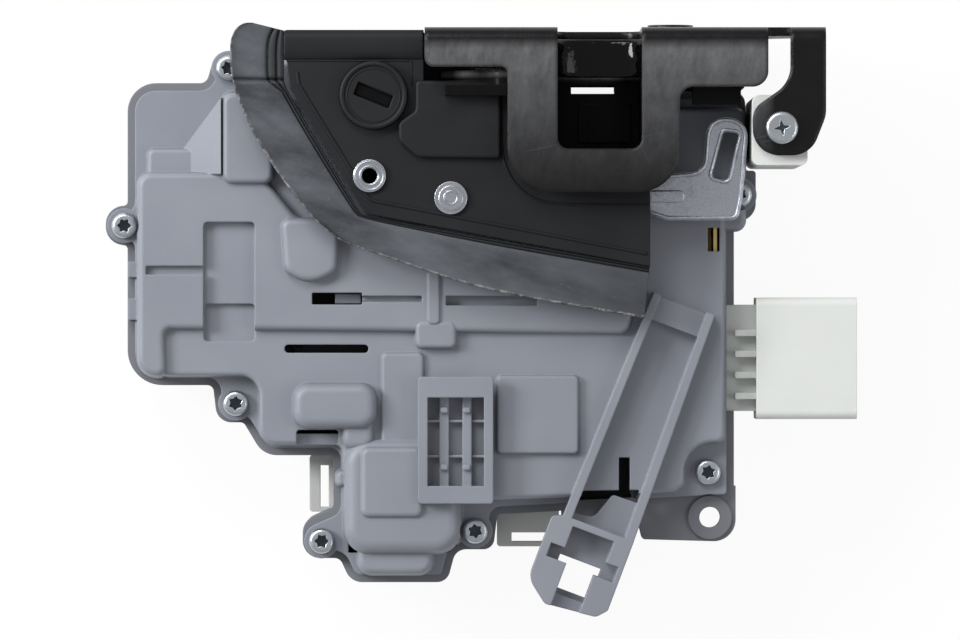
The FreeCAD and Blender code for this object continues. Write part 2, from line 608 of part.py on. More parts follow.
def housing_cover():
    """Front cover: flange, raised forms with the space behind them, slots, windows and the cable channel."""
    rim = inset(HOUSING, size("rim_step"))
    flange = plate("cover_flange", rounded(rim), BASE_TOP, FLANGE_TOP)
    forms = [raised_form(name, *form) for name, form in FORMS.items()]
    forms += [drafted("deck", DECK_OUTLINE, "deck_rise", 1.0), drafted("terrace", TERRACE, "terrace_rise", 1.4),
              drafted("bulge", BULGE, "bulge_rise", 1.4), raised_form("column", *COLUMN, "column_rise", 2.0, 1.2),
              gusset()]
    tabs = [box(f"rim_tab_{number}", (-80.2, -76.8), y, (BASE_TOP, FLANGE_TOP + " + 0.8"))
            for number, y in enumerate(RIM_TABS)]
    seats = [rod(f"cover_seat_{number}", "boss_round", at, BASE_TOP, FLANGE_TOP)
             for number, at in enumerate(SCREWS, 1)]
    solid = fuse("cover_solid", flange, *forms, *tabs, *seats)
    hollows = []
    for number, (x, y, rise) in enumerate(HOLLOWS):
        hollows.append(box(f"cover_hollow_{number}", x, y, (BASE_TOP + " - 1", f"{FLANGE_TOP} + {rise} - wall")))
    recesses = []
    for number, (x, y, floor, corner) in enumerate(RECESSES):
        edges = rounded(rectangle((x[0], y[0]), (x[1], y[1]), corner))
        recesses.append(plate(f"cover_recess_{number}", edges, f"{FLANGE_TOP} + {floor}", DECK + " + 20"))
    holes = [rod(f"cover_screw_hole_{number}", "screw_shank + play", at, BASE_TOP + " - 1", FLANGE_TOP + " + 9")
             for number, at in enumerate(SCREWS, 1)]
    heads = [rod(f"cover_head_space_{number}", "screw_head + 2 * play", at, FLANGE_TOP, DECK + " + 9")
             for number, at in enumerate(SCREWS, 1)]
    rivets = [rod("cover_rivet_hole_1", "rivet_shank", ("hollow_x", "hollow_y"), BASE_TOP, DECK + " + 1"),
              rod("cover_rivet_hole_2", "rivet_shank", ("solid_x", "solid_y"), BASE_TOP, DECK + " + 1")]
    heads.append(rod("cover_ear_space", EAR_BOSS + 0.4, FIXING_EAR, BASE_TOP + " - 1", DECK))
    notch = box("cover_notch", ("slot_left - pocket_wall - 3.4", "slot_right + pocket_wall + 3.4"),
                ("slot_end - 5.7", "slot_end + 30"), (BASE_TOP + " - 1", DECK + " + 20"))
    shell = cut("cover_shell", solid, *hollows)
    slotted = cut("cover_slotted", shell, *recesses, notch, channel_space())
    drilled = cut("cover_drilled", cut("cover_bored", slotted, *holes, *rivets), *heads)
    whole = fuse("cover_with_channel", drilled, channel())
    hook_slot = box("channel_hook_slot", *HOOK_SLOT, (BASE_TOP + " - 1", DECK + " + 3"))
    under_tongue = box("under_tongue", (28.0, 34.6), (-42.4, -38.8), (BASE_TOP + " - 1", FLANGE_TOP + " + 1.9"))
    return keep(cut("cover", whole, channel_windows(), channel_pockets(), hook_slot, under_tongue),
                "housing_cover")


def rear_cover():
    """Off-white back cover with its snap loops and the bracket that the hook is screwed to."""
    outline = inset(HOUSING, 1.0)
    shell = plate("rear_shell", rounded(outline), "0", BASE_LOW)
    hollow = plate("rear_hollow", rounded(inset(outline, size("rear_wall"))), "rear_wall", BASE_LOW + " + 1")
    loops = []
    windows = []
    for number, (x, y, window_x, window_y) in enumerate(LOOPS):
        ring = rectangle((x[0], y[0]), (x[1], y[1]), 0.8)
        loops.append(plate(f"rear_loop_{number}", rounded(ring), BASE_LOW + " - 3.5", BASE_LOW))
        windows.append(box(f"rear_loop_window_{number}", window_x, window_y, ("0", BASE_LOW + " + 1")))
    bracket_x, bracket_y = (61.4, 73.9), (34.8, 50.7)
    hook_back = "flange_face - plate_thick"
    pillar = plate("bracket", rounded(rectangle((61.4, 34.8), (73.9, 50.7), 1.6)), "0", hook_back)
    inner = box("bracket_hollow", (bracket_x[0] + 2, bracket_x[1] - 2), (bracket_y[0] + 2, bracket_y[1] - 2),
                ("-1", hook_back + " - 14"))
    foot = box("bracket_foot", (57.0, 62.5), (37.0, 48.0), ("0", BASE_LOW))
    hole = rod("bracket_hole", "screw_shank + running_fit", HOOK_SCREW, hook_back + " - 13", hook_back + " + 1")
    tray = cut("rear_tray", shell, hollow)
    whole = fuse("rear_whole", tray, pillar, foot, *loops)
    return keep(cut("rear", whole, inner, hole, *windows), "rear_cover")


def clip_frame():
    """Frame pushed into its seat on the cover, with two bars across its opening."""
    seat = FLANGE_TOP + " + 9.2"
    flange = plate("clip_flange", rounded(rectangle((-14.1, -41.8), (3.0, -13.0), 0.8)), seat, seat + " + 1.4")
    skirt = plate("clip_skirt", rounded(rectangle((-12.9, -38.8), (2.0, -16.5), 0.8)), seat + " - 3.8", seat)
    opening = box("clip_opening", (-11.9, 0.9), (-37.8, -17.7), (seat + " - 5", seat + " + 3"))
    bars = [box(f"clip_bar_{number}", (x, x + 2.1), (-39.5, -16.0), (seat + " - 3.8", seat + " - 1.6"))
            for number, x in enumerate((-9.2, -4.0))]
    ties = [box(f"clip_tie_{number}", (-12.5, 1.5), (y, y + 0.6), (seat + " - 3.8", seat + " - 2.4"))
            for number, y in enumerate((-31.4, -23.4))]
    rim = cut("clip_rim", fuse("clip_solid", flange, skirt), opening)
    trim = box("clip_trim", (-12.4, 1.4), (-38.2, -17.1), (seat + " - 5", seat + " + 3"))
    inside = doc.addObject("Part::Common", "clip_inside")
    inside.Base = fuse("clip_bars", *bars, *ties)
    inside.Tool = trim
    return keep(fuse("clip", rim, inside), "clip_frame")


# Places along y of the layers behind the face plate
PLATE_BACK = "plate_top - plate_thick"
CLAW_FRONT = PLATE_BACK + " - 2 * play"
CLAW_BACK = CLAW_FRONT + " - claw_thick"
SPRING_ROOM = "2.2"
BACK_PLATE = f"{CLAW_BACK} - {SPRING_ROOM} - back_plate_thick"
CARRIER = BACK_PLATE + " - carrier_thick"
FLANGE_BACK = "flange_face - plate_thick"
claw_at = ("claw_x", "claw_z")
pawl_at = ("pawl_x", "pawl_z")


def face_plate():
    """Folded steel plate: the upright with the striker slot, the U-shaped flange and the hook."""
    left, right, low, face = (size(name) for name in ("plate_left", "plate_right", "plate_low", "flange_face"))
    slot_left, slot_right, slot_floor = size("slot_left"), size("slot_right"), size("slot_floor")
    upright = [(left, low, 4.0), (size("u_right"), low, 4.0), (size("u_right"), 28.0, 6.0), (right, 36.0, 4.0),
               (right, face, 0.0), (size("u_right") + HOOK_GAP, face, 0.0),
               (size("u_right") + HOOK_GAP, face - BEND - 1, 0.0), (size("u_right"), face - BEND - 1, 0.0),
               (size("u_right"), face, 0.0), (slot_right, face, 0.0), (slot_right, slot_floor, 4.0),
               (slot_left, slot_floor, 4.0), (slot_left, face, 0.0), (left, face, 0.0)]
    holes = []
    for x in (size("bolt_left"), size("bolt_right")):
        holes += circle(x, size("bolt_level"), size("bolt_hole"))
    for x, z, radius in PIN_NECKS:
        holes += circle(x, z, radius)
    back = plate("upright", rounded(upright) + holes, PLATE_BACK, "plate_top", "XZ_Plane")
    top, u_right, u_low, slot_end = (size(name) for name in ("plate_top", "u_right", "u_low", "slot_end"))
    outer_left, outer_right, arm = size("u_outer_left"), size("u_outer_right"), size("arm_low")
    u_shape = [(left, top, 0.0), (left, arm, 2.0), (outer_left, arm, 1.5), (outer_left, u_low, 10.0),
               (outer_right, u_low, 9.5),
               (outer_right, 52.5, 3.0), (u_right, 52.5, 3.5), (u_right, top, 0.0), (slot_right, top, 0.0),
               (slot_right, slot_end, 2.5), (slot_left, slot_end, 2.5), (slot_left, top, 0.0)]
    hook = [(u_right + HOOK_GAP, top, 0.0), (u_right + HOOK_GAP, 53.5, 7.0), (61.5, 47.5, 4.5), (61.5, 37.0, 6.0),
            (74.5, 37.0, 6.0), (right, 46.0, 7.0), (right, top, 0.0)]
    hook_hole = circle(*HOOK_SCREW, size("screw_shank") + size("play"))
    u_flange = plate("u_flange", rounded(u_shape), FLANGE_BACK, "flange_face")
    hook_flange = plate("hook_flange", rounded(hook) + hook_hole, FLANGE_BACK, "flange_face")
    folded = fuse("folded_plate", back, u_flange, hook_flange)
    doc.recompute()
    bends = [number for number, edge in enumerate(folded.Shape.Edges, 1)
             if abs(edge.BoundBox.YMin - top) < 1e-4 and abs(edge.BoundBox.ZMin - face) < 1e-4]
    bent = doc.addObject("Part::Fillet", "face")
    bent.Base = folded
    bent.Edges = [(number, BEND, BEND) for number in bends]
    return keep(bent, "face_plate")


def latch_back_plate():
    """Steel plate that carries the far ends of the claw and pawl pins."""
    outline = slotted_plate(0.8)
    holes = []
    for x, z, radius in PIN_NECKS:
        holes += circle(x, z, radius)
    body = plate("back_plate", rounded(outline) + holes, BACK_PLATE, BACK_PLATE + " + back_plate_thick", "XZ_Plane")
    lip = box("back_plate_lip", ("slot_left + play", "slot_right + play"),
              (BACK_PLATE + " + 0.4", CLAW_BACK + " - 0.2"), ("pocket_back - 1", "pocket_back + 1"))
    return keep(fuse("back_plate_with_lip", body, lip), "latch_back_plate")


def slotted_plate(margin):
    """Outline of the plates behind the face plate, with the striker slot open to the front."""
    left, right, floor = size("slot_left") - margin, size("slot_right") + margin, size("slot_floor") - margin
    top = size("flange_face") - size("plate_thick") - 1
    return [(-9.0, 3.0, 3.0), (60.0, 3.0, 3.0), (60.0, 39.0, 2.0), (54.0, top, 2.0), (right, top, 0.8),
            (right, floor, 3.0), (left, floor, 3.0), (left, top, 0.8), (4.0, top, 2.0), (-9.0, 37.0, 2.0)]


def latch_body():
    """Black moulding: the pocket round the striker and the carrier behind the back plate."""
    outer_x = ("slot_left - pocket_wall", "slot_right + pocket_wall")
    block = box("pocket_block", outer_x, ("slot_end - pocket_wall + 0.2", BACK_PLATE), ("pocket_back", FLANGE_BACK))
    pocket = box("pocket_space", ("slot_left", "slot_right"), ("slot_end", BACK_PLATE + " + 1"),
                 ("slot_floor", FLANGE_BACK + " + 1"))
    under = box("pocket_under", ("slot_left", "slot_right"), ("slot_end", CARRIER + " - 2.4"),
                ("pocket_back - 1", "slot_floor - 3"))
    slit_low = CARRIER + " - 0.8"
    slit = box("pocket_slit", ("slit_left", "slit_right"), (slit_low, slit_low + " + slit_wide"),
               ("pocket_back - 4", "slot_floor + 1"))
    heads = []
    for x, z, radius in PIN_NECKS:
        heads.append(rod(f"carrier_head_space_{len(heads)}", radius + size("pin_head") + 0.3, (x, z),
                         CARRIER + " - 1", BACK_PLATE, "y"))
    carrier = plate("carrier", rounded(slotted_plate(0.0)), CARRIER, BACK_PLATE, "XZ_Plane")
    bars = [box("carrier_bar_right", (48.0, 59.0), (48.6, CARRIER + " + 0.4"), ("panel_back", "panel_back + 3")),
            box("carrier_bar_left", (-8.0, "slot_left - 3"), (50.5, CARRIER + " + 0.4"),
                ("panel_back + panel_thick + pad_rise + play", "flange_face - plate_thick - play"))]
    solid = fuse("latch_solid", block, carrier, *bars)
    return keep(cut("latch_moulding", solid, pocket, under, slit, *heads), "latch_body")


def claw():
    """Catch with its mouth for the striker, turned open about its pin; a ratchet notch is in its rim."""
    half = "claw_thick / 2"
    rim = rod("claw_rim_disc", "claw_rim", ("0", "0"), f"-{half}", half, "y")
    reach = rod("claw_reach_disc", "claw_reach", ("0", "0"), f"-{half}", half, "y")
    legs_box = box("claw_legs_box", ("-claw_reach - 1", "-8"), (f"-{half} - 1", f"{half} + 1"), ("-13.5", "13.5"))
    legs = doc.addObject("Part::Common", "claw_legs")
    legs.Base = reach
    legs.Tool = legs_box
    gap = "striker_round + striker_play"
    seat = "claw_rim - striker_play - 0.2"
    mouth = box("claw_mouth", ("-claw_reach - 2", f"-({seat})"), (f"-{half} - 1", f"{half} + 1"), (f"-({gap})", gap))
    end = rod("claw_mouth_end", gap, (f"-({seat})", "0"), f"-{half} - 1", f"{half} + 1", "y")
    bore = rod("claw_bore", "claw_pin_round + running_fit", ("0", "0"), f"-{half} - 1", f"{half} + 1", "y")
    notch = box("claw_notch", ("-8", "1"), (f"-{half} - 1", f"{half} + 1"), ("-claw_rim - 1", "-claw_rim + 2.6"))
    catch = cut("claw_solid", fuse("claw_blank", rim, legs), mouth, end, bore, notch)
    catch.Placement = Placement(Vector(), Rotation(Vector(0, 1, 0), size("claw_turn")))
    catch.setExpression("Placement.Base.x", linked("claw_x"))
    catch.setExpression("Placement.Base.y", linked(f"{CLAW_FRONT} - {half}"))
    catch.setExpression("Placement.Base.z", linked("claw_z"))
    return keep(catch, "claw")


def pawl():
    """Lever whose nose rides on the claw's rim."""
    bore = circle(size("pawl_x"), size("pawl_z"), size("pawl_pin_round") + size("running_fit"))
    return keep(plate("pawl_plate", rounded(PAWL) + bore, CLAW_BACK, CLAW_FRONT, "XZ_Plane"), "pawl")


def shoulder_pin(name, at, radius, neck):
    """Pin between the two steel plates: its necks pass through them and are riveted over."""
    low, high = BACK_PLATE, "plate_top"
    barrel = rod(name + "_barrel", radius, at, BACK_PLATE + " + back_plate_thick", PLATE_BACK, "y")
    stem = rod(name + "_neck", neck, at, low + " - pin_head", high + " + pin_head", "y")
    inner = rod(name + "_head_in", neck + " + pin_head", at, low + " - pin_head", low, "y")
    outer = rod(name + "_head_out", neck + " + pin_head", at, high, high + " + pin_head", "y")
    return keep(fuse(name + "_solid", barrel, stem, inner, outer), name)


def coil(name, at, level, radius, wire, leg, along):
    """Return spring: one closed turn of wire with a straight leg to its anchor."""
    ring = doc.addObject("Part::Torus", name + "_turn")
    ring.Placement = Placement(Vector(), TURNS[along])
    ring.setExpression("Radius1", linked(radius))
    ring.setExpression("Radius2", linked(wire))
    places = dict(zip([axis for axis in "xyz" if axis != along], at))
    places[along] = level
    for axis, place in places.items():
        ring.setExpression("Placement.Base." + axis, linked(place))
    side = leg["along"]
    others = {axis: places[axis] for axis in "xyz" if axis != side}
    others[leg["beside"]] = f"{others[leg['beside']]} + {leg['offset']}"
    arm = rod(name + "_leg", wire, list(others.values()), leg["low"], leg["high"], side)
    return keep(fuse(name + "_solid", ring, arm), name)


def latch_panel():
    """Black panel: a plate on a rim, with a raised pad, a rotor bore and posts under its rivets."""
    top = "panel_back + panel_thick"
    bore = circle(size("rotor_x"), size("rotor_y"), size("rotor_round") + size("running_fit"))
    sheet_body = plate("panel_sheet", rounded(PANEL) + bore, "panel_back", top)
    rim = plate("panel_rim", rounded(PANEL), DECK, "panel_back")
    hollow = plate("panel_hollow", rounded(inset(PANEL, size("panel_wall"))), DECK + " - 1", "panel_back")
    lever_gap = box("panel_lever_gap", (29.0, 39.5), (19.5, 36.0), ("lever_back - 1.2", "panel_back"))
    ring = cut("panel_ring", rim, hollow, lever_gap)
    pad = [(-14.8, 36.8, 6.0), (4.2, 36.8, 0.8), (4.2, 51.8, 0.8), (-14.8, 51.8, 0.8)]
    raised = soften(plate("panel_pad", rounded(pad), "panel_back", top + " + pad_rise", draft=draft_angle), 0.6,
                    size("panel_back") + size("panel_thick") + size("pad_rise"))
    posts = [rod(f"panel_post_{name}", "rivet_head + 1", (f"{name}_x", f"{name}_y"), DECK, "panel_back")
             for name in ("hollow", "solid")]
    holes = [rod(f"panel_rivet_hole_{name}", "rivet_shank", (f"{name}_x", f"{name}_y"), DECK + " - 1", top + " + 1")
             for name in ("hollow", "solid")]
    whole = fuse("panel_solid", sheet_body, ring, raised, *posts)
    return keep(cut("panel", whole, *holes), "latch_panel")


def panel_seal():
    """Rubber lip along the lower left edge of the panel."""
    strip = plate("lip", rounded(LIP), "lip_back", "lip_back + lip_thick")
    panel_space = plate("lip_panel_space", rounded(PANEL), "lip_back - 1", "lip_back + lip_thick + 1")
    return keep(cut("seal", strip, panel_space), "panel_seal")


def child_lock_rotor():
    """Slotted disc in the panel, held from below by its collar."""
    at = ("rotor_x", "rotor_y")
    top = "panel_back + panel_thick + rotor_rise"
    disc = rod("rotor_disc", "rotor_round", at, "panel_back - play", top)
    collar = rod("rotor_collar", "rotor_round + 1.4", at, "panel_back - play - 1.6", "panel_back - play")
    stem = rod("rotor_stem", "3", at, DECK + " + play", "panel_back - play - 1.6")
    rim = doc.addObject("Part::Fillet", "rotor_rim")
    rim.Base = disc
    doc.recompute()
    rim.Edges = [(number, 0.6, 0.6) for number in outer_top(disc.Shape, disc.Placement.Base.z + disc.Height.Value)]
    long, wide = size("rotor_slot_long") / 2, size("rotor_slot_wide") / 2
    slot = plate("rotor_slot", rounded(rectangle((-long, -wide), (long, wide), 0.3)), top + " - rotor_slot_deep",
                 top + " + 1")
    slot.Placement = Placement(Vector(size("rotor_x"), size("rotor_y"), 0),
                               Rotation(Vector(0, 0, 1), size("rotor_tilt")))
    return keep(cut("rotor", fuse("rotor_solid", rim, collar, stem), slot), "child_lock_rotor")


def rivet(name, prefix, hollow):
    """Rivet through the panel and the cover: head, shank and the closed end under the cover."""
    at = (prefix + "_x", prefix + "_y")
    top = "panel_back + panel_thick"
    under = DECK + " - wall"
    shank = rod(name + "_shank", "rivet_shank - 0.02", at, under + " - 0.9", top)
    head = rod(name + "_head", "rivet_head", at, top, top + " + 0.9")
    tail = rod(name + "_tail", "rivet_head - 0.4", at, under + " - 0.9", under)
    solid = fuse(name + "_solid", shank, head, tail)
    if hollow:
        solid = cut(name + "_tube", solid, rod(name + "_bore", "rivet_bore", at, under + " - 2", top + " + 2"))
    else:
        solid = fuse(name + "_capped", solid, rod(name + "_cap", "rivet_head - 1", at, top, top + " + 1.5"))
    return keep(solid, name)


def outside_release_lever():
    """Plated lever behind the panel, with the slot that the door handle's rod hooks into."""
    bore = circle(size("lever_x"), size("lever_y"), size("lever_pin") + size("running_fit"))
    edges = rounded(LEVER) + rounded(LEVER_SLOT) + bore
    return keep(plate("release_lever", edges, "lever_back", "lever_back + lever_thick"), "outside_release_lever")


def lever_pivot():
    """Stepped pin from the cover to the underside of the panel."""
    at = ("lever_x", "lever_y")
    step = rod("pivot_step", 3.4, at, DECK, "lever_back - 0.1")
    pin = rod("pivot_pin", "lever_pin", at, DECK, "panel_back")
    return keep(fuse("pivot", step, pin), "lever_pivot")


def slot_buffer():
    """Rubber pad on the pocket's floor, which the striker comes to rest on."""
    half = "striker_round + 1.5"
    middle = "slot_left / 2 + slot_right / 2"
    pad = box("buffer_block", (f"{middle} - {half}", f"{middle} + {half}"), ("slot_end + 2", "slot_end + 11"),
              ("slot_floor", "slot_floor + 1.6"))
    return keep(pad, "slot_buffer")


wheel_at = ("drive_x - wheel_reach", "wheel_y")
DRIVE_LEVEL = ("drive_z - wheel_thick / 2", "drive_z + wheel_thick / 2")


def gear_outline(teeth, module, thin):
    """Straight-flanked teeth round a circle; thin is the share of the pitch that each tooth fills."""
    pitch = teeth * module / 2
    root, tip = pitch - 1.15 * module, pitch + 0.85 * module
    step = 2 * math.pi / teeth
    corners = []
    for tooth in range(teeth):
        middle = step * tooth
        foot, crown = step * thin * 0.72, step * thin * 0.3
        for angle, radius in ((-foot, root), (-crown, tip), (crown, tip), (foot, root)):
            corners.append((radius * math.cos(middle + angle), radius * math.sin(middle + angle), 0.0))
    return corners


def worm_wheel():
    """Wheel driven by the worm, with the pinion for the slider on its back."""
    module = size("gear_module")
    bore = circle(0, 0, size("axle_round") + size("running_fit"))
    wheel = plate("wheel_disc", rounded(gear_outline(int(size("wheel_teeth")), module, 0.42)) + bore, *DRIVE_LEVEL)
    pinion = plate("wheel_pinion", rounded(turned(gear_outline(int(size("pinion_teeth")), module, 0.42), 90)) +
                   circle(0, 0, size("axle_round") + size("running_fit")),
                   DRIVE_LEVEL[0] + " - pinion_thick", DRIVE_LEVEL[0])
    together = fuse("wheel", wheel, pinion)
    together.setExpression("Placement.Base.x", linked(wheel_at[0]))
    together.setExpression("Placement.Base.y", linked(wheel_at[1]))
    return keep(together, "worm_wheel")


def turned(points, degrees):
    """The outline turned about the origin."""
    c, s = math.cos(math.radians(degrees)), math.sin(math.radians(degrees))
    return [(x * c - y * s, x * s + y * c, radius) for x, y, radius in points]


def worm():
    """Motor shaft with the worm: a one-start thread round a core."""
    pitch = math.pi * size("gear_module")
    long = size("worm_long")
    root, tip = size("worm_root"), size("worm_tip")
    core = rod("worm_core", "worm_root", ("drive_x", "drive_z"), "wheel_y - worm_long / 2", "wheel_y + worm_long / 2",
               "y")
    shaft = rod("worm_shaft", "shaft_round", ("drive_x", "drive_z"), "motor_low + 1",
                "wheel_y + worm_long / 2 + 3.5", "y")
    turns = int(long / pitch) - 1
    helix = Part.makeHelix(pitch, turns * pitch, root)
    foot, crown, sunk = pitch * 0.24, pitch * 0.1, 0.25
    section = Part.makePolygon([Vector(root - sunk, 0, -foot), Vector(tip, 0, -crown), Vector(tip, 0, crown),
                                Vector(root - sunk, 0, foot), Vector(root - sunk, 0, -foot)])
    thread = doc.addObject("Part::Feature", "worm_thread")
    thread.Shape = Part.Wire(helix.Edges).makePipeShell([section], True, True)
    # Beside the wheel the thread leaves a gap at the middle tooth
    start = size("wheel_y") - (turns // 2 + 0.5) * pitch
    thread.Placement = Placement(Vector(size("drive_x"), start, size("drive_z")),
                                 Rotation(Vector(0, 1, 0), WORM_PHASE) * TURNS["y"])
    return keep(fuse("worm_solid", core, shaft, thread), "worm")


def wheel_axle():
    """Steel pin that the worm wheel turns on, pressed into the base."""
    return keep(rod("axle_pin", "axle_round", wheel_at, FLOOR, DRIVE_LEVEL[1] + " + 1"), "wheel_axle")


def lock_motor():
    """Motor can with two flat sides, its end boss and its two terminals."""
    half_wide, half_high = size("motor_wide") / 2, size("motor_high") / 2
    can = plate("motor_can", rounded(rectangle((-half_wide, -half_high), (half_wide, half_high), 8.0)),
                "motor_low", "motor_low + motor_long", "XZ_Plane")
    can.setExpression("Placement.Base.x", linked("drive_x"))
    can.setExpression("Placement.Base.z", linked("drive_z"))
    boss = rod("motor_boss", 5.0, ("drive_x", "drive_z"), "motor_low - 0.1", "motor_low + 1", "y")
    bore = rod("motor_bore", "shaft_round + running_fit", ("drive_x", "drive_z"), "motor_low + 0.5",
               "motor_low + motor_long + 1", "y")
    return keep(cut("motor", fuse("motor_solid", can, boss), bore), "lock_motor")


def lock_slider():
    """Rack moved by the pinion, with the post that shows in the cover's window."""
    module, teeth = size("gear_module"), 5
    pitch = math.pi * module
    line = size("wheel_y") + size("pinion_teeth") * module / 2
    middle = size("drive_x") - size("wheel_reach")
    root, tip = line + 1.15 * module, line - 0.85 * module
    left, right = middle - 24.0, middle + 8.0
    corners = [(right, root + size("slider_wide"), 0.6), (left, root + size("slider_wide"), 0.6), (left, root, 0.6)]
    for tooth in range(-2, teeth - 1):
        x = middle + (tooth + 0.5) * pitch
        foot, crown = pitch * 0.3, pitch * 0.13
        corners += [(x - foot, root, 0.0), (x - crown, tip, 0.0), (x + crown, tip, 0.0), (x + foot, root, 0.0)]
    corners.append((right, root, 0.6))
    levels = ("slider_back", "slider_back + slider_thick")
    rack = plate("slider_rack", rounded(corners), *levels)
    post_x = (-33.0, -27.1)
    arm = box("slider_arm", post_x, (root + 1, 5.85), levels)
    post = box("slider_post", post_x, (3.65, 5.85), (levels[0], DECK + " - 1"))
    return keep(fuse("slider", rack, arm, post), "lock_slider")


def inside_release_lever():
    """Lever that the inside handle's cable pulls."""
    bore = circle(*INSIDE_PIVOT, size("inside_pin") + size("running_fit"))
    body = plate("cable_lever", rounded(INSIDE_LEVER) + bore, "inside_lever_back", "inside_lever_back + 2.4")
    return keep(body, "inside_release_lever")


def inside_lever_pin():
    """Pin of the inside lever, pressed into the base."""
    return keep(rod("cable_lever_pin", "inside_pin", INSIDE_PIVOT, FLOOR, "inside_lever_back + 3.2"),
                "inside_lever_pin")


def connector_housing():
    """Off-white plug socket, open to the right, on a ribbed neck that slides into the base."""
    shell = plate("plug_shell", rounded(rectangle((size("plug_low"), size("plug_back")),
                                                  (size("plug_high"), size("plug_front")), 1.8)),
                  "plug_left", "plug_right", "YZ_Plane")
    wall = "plug_wall"
    cavity = box("plug_cavity", ("plug_left + 3", "plug_right + 1"), (f"plug_low + {wall}", f"plug_high - {wall}"),
                 (f"plug_back + {wall}", f"plug_front - {wall}"))
    neck = box("plug_neck", ("plug_left - 7.2", "plug_left"), ("neck_low", "neck_high"), ("neck_back", "neck_front"))
    flange = box("plug_flange", ("plug_left - 8.6", "plug_left - 7.2"), ("neck_low - 1.4", "neck_high + 1.4"),
                 ("neck_back - 1.4", "neck_front"))
    ribs = [box(f"plug_rib_{number}", ("plug_left - 4.8", "plug_left"), (y, f"{y} + 1.4"),
                ("neck_back", "neck_front + 2.4")) for number, y in enumerate(("-18.2", "-13.4", "-8.6", "-3.8"))]
    return keep(cut("plug", fuse("plug_solid", shell, neck, flange, *ribs), cavity), "connector_housing")


def connector_pins():
    """Two rows of contacts in the plug socket."""
    pins = []
    for z in PIN_ROWS:
        for number in range(5):
            y = f"(neck_low + neck_high) / 2 + {(number - 2) * 3.6}"
            across = (f"{y} - pin_side / 2", f"{y} + pin_side / 2")
            levels = (f"{z} - pin_side / 2", f"{z} + pin_side / 2")
            pins.append(box(f"pin_{int(z)}_{number}", ("plug_left - 11.8", "plug_right - 5"), across, levels))
    return keep(group("pins", pins), "connector_pins")


def lead_frame():
    """Brass strips from the plug socket to the motor and the switches."""
    strip = (FLOOR, FLOOR + " + 0.8")
    riser = box("lead_riser", ("plug_left - 12.6", "plug_left - 11.8"), (-17.0, -0.6), (FLOOR, PIN_ROWS[1] + 0.8))
    bus = box("lead_bus", ("plug_left - 17", "plug_left - 9.2"), (-17.0, -0.6), strip)
    motor_run = box("lead_motor_run", (-10.0, "plug_left - 16"), (-17.0, -15.0), strip)
    motor_drop = box("lead_motor_drop", (-8.0, -6.0), ("motor_low + motor_long", -16.0), strip)
    switch_run = box("lead_switch_run", (52.2, 54.0), (-1.0, 38.0), strip)
    blade = box("lead_blade", (53.2, 54.0), (15.0, 22.4), (FLOOR, DECK + " - 3"))
    return keep(fuse("leads", riser, bus, motor_run, motor_drop, switch_run, blade), "lead_frame")


def microswitches():
    """Three sealed switches on the base's floor, each with its button."""
    switches = []
    for number, (x, y) in enumerate([(48.4, 38.0), (-62.0, 2.0), (-4.0, 36.0)]):
        case = box(f"switch_case_{number}", (x, x + 8.2), (y, y + 5.6), (FLOOR, FLOOR + " + 6.4"))
        button = rod(f"switch_button_{number}", 0.9, (x + 2.6, y + 2.8), FLOOR + " + 6.4", FLOOR + " + 7.3")
        switches.append(fuse(f"switch_{number}", case, button))
    return keep(group("switches", switches), "microswitches")


def screw(name, at, under_head, radius, outline):
    """Pan head screw with a recess of the given outline."""
    head = rod(name + "_head", radius, at, under_head, under_head + " + screw_head_high")
    shank = rod(name + "_shank", "screw_shank", at, f"{under_head} - screw_long", under_head)
    dome = doc.addObject("Part::Fillet", name + "_dome")
    dome.Base = head
    doc.recompute()
    level = head.Placement.Base.z + head.Height.Value
    dome.Edges = [(number, 0.9, 0.9) for number in outer_top(head.Shape, level)]
    recess = plate(name + "_recess", outline, under_head + " + screw_head_high - 1.5",
                   under_head + " + screw_head_high + 1")
    recess.Placement = Placement(Vector(*at, 0), Rotation(Vector(0, 0, 1), 20 * at[0]))
    return cut(name, fuse(name + "_solid", dome, shank), recess)


def cover_screws():
    """Seven screws round the rim, with six-lobed recesses."""
    lobes = star(size("screw_recess"), 6, 0.7)
    screws = [screw(f"screw_{number}", at, FLANGE_TOP, "screw_head", lobes) for number, at in enumerate(SCREWS, 1)]
    return keep(group("screws", screws), "cover_screws")


def hook_screw():
    """Cross recess screw through the hook."""
    cross = star(size("hook_screw_recess"), 4, 0.34)
    return keep(screw("hook_fixing", HOOK_SCREW, "flange_face", "hook_screw_head", cross), "hook_screw")


housing_base()
housing_cover()
rear_cover()
clip_frame()
face_plate()
latch_back_plate()
latch_body()
claw()
pawl()
shoulder_pin("claw_pin", claw_at, "claw_pin_round", "claw_pin_round - pin_neck")
shoulder_pin("pawl_pin", pawl_at, "pawl_pin_round", "pawl_pin_round - pin_neck")
spring_level = f"{CLAW_BACK} - {SPRING_ROOM} / 2"
coil("claw_spring", claw_at, spring_level, "claw_pin_round + 1.6", "spring_wire",
     {"along": "z", "beside": "x", "offset": "claw_pin_round + 1.6", "low": "claw_z - 16", "high": "claw_z"}, "y")
coil("pawl_spring", pawl_at, spring_level, "pawl_pin_round + 1.5", "spring_wire",
     {"along": "x", "beside": "z", "offset": "pawl_pin_round + 1.2", "low": "pawl_x - 14", "high": "pawl_x"}, "y")
latch_panel()
panel_seal()
child_lock_rotor()
rivet("hollow_rivet", "hollow", True)
rivet("solid_rivet", "solid", False)
outside_release_lever()
lever_pivot()
coil("lever_spring", ("lever_x", "lever_y"), "lever_back - 2.6", "4.2", "0.5",
     {"along": "x", "beside": "y", "offset": "-3.9", "low": "lever_x", "high": "lever_x + 7.5"}, "z")
slot_buffer()
worm_wheel()
worm()
wheel_axle()
lock_motor()
lock_slider()
inside_release_lever()
inside_lever_pin()
connector_housing()
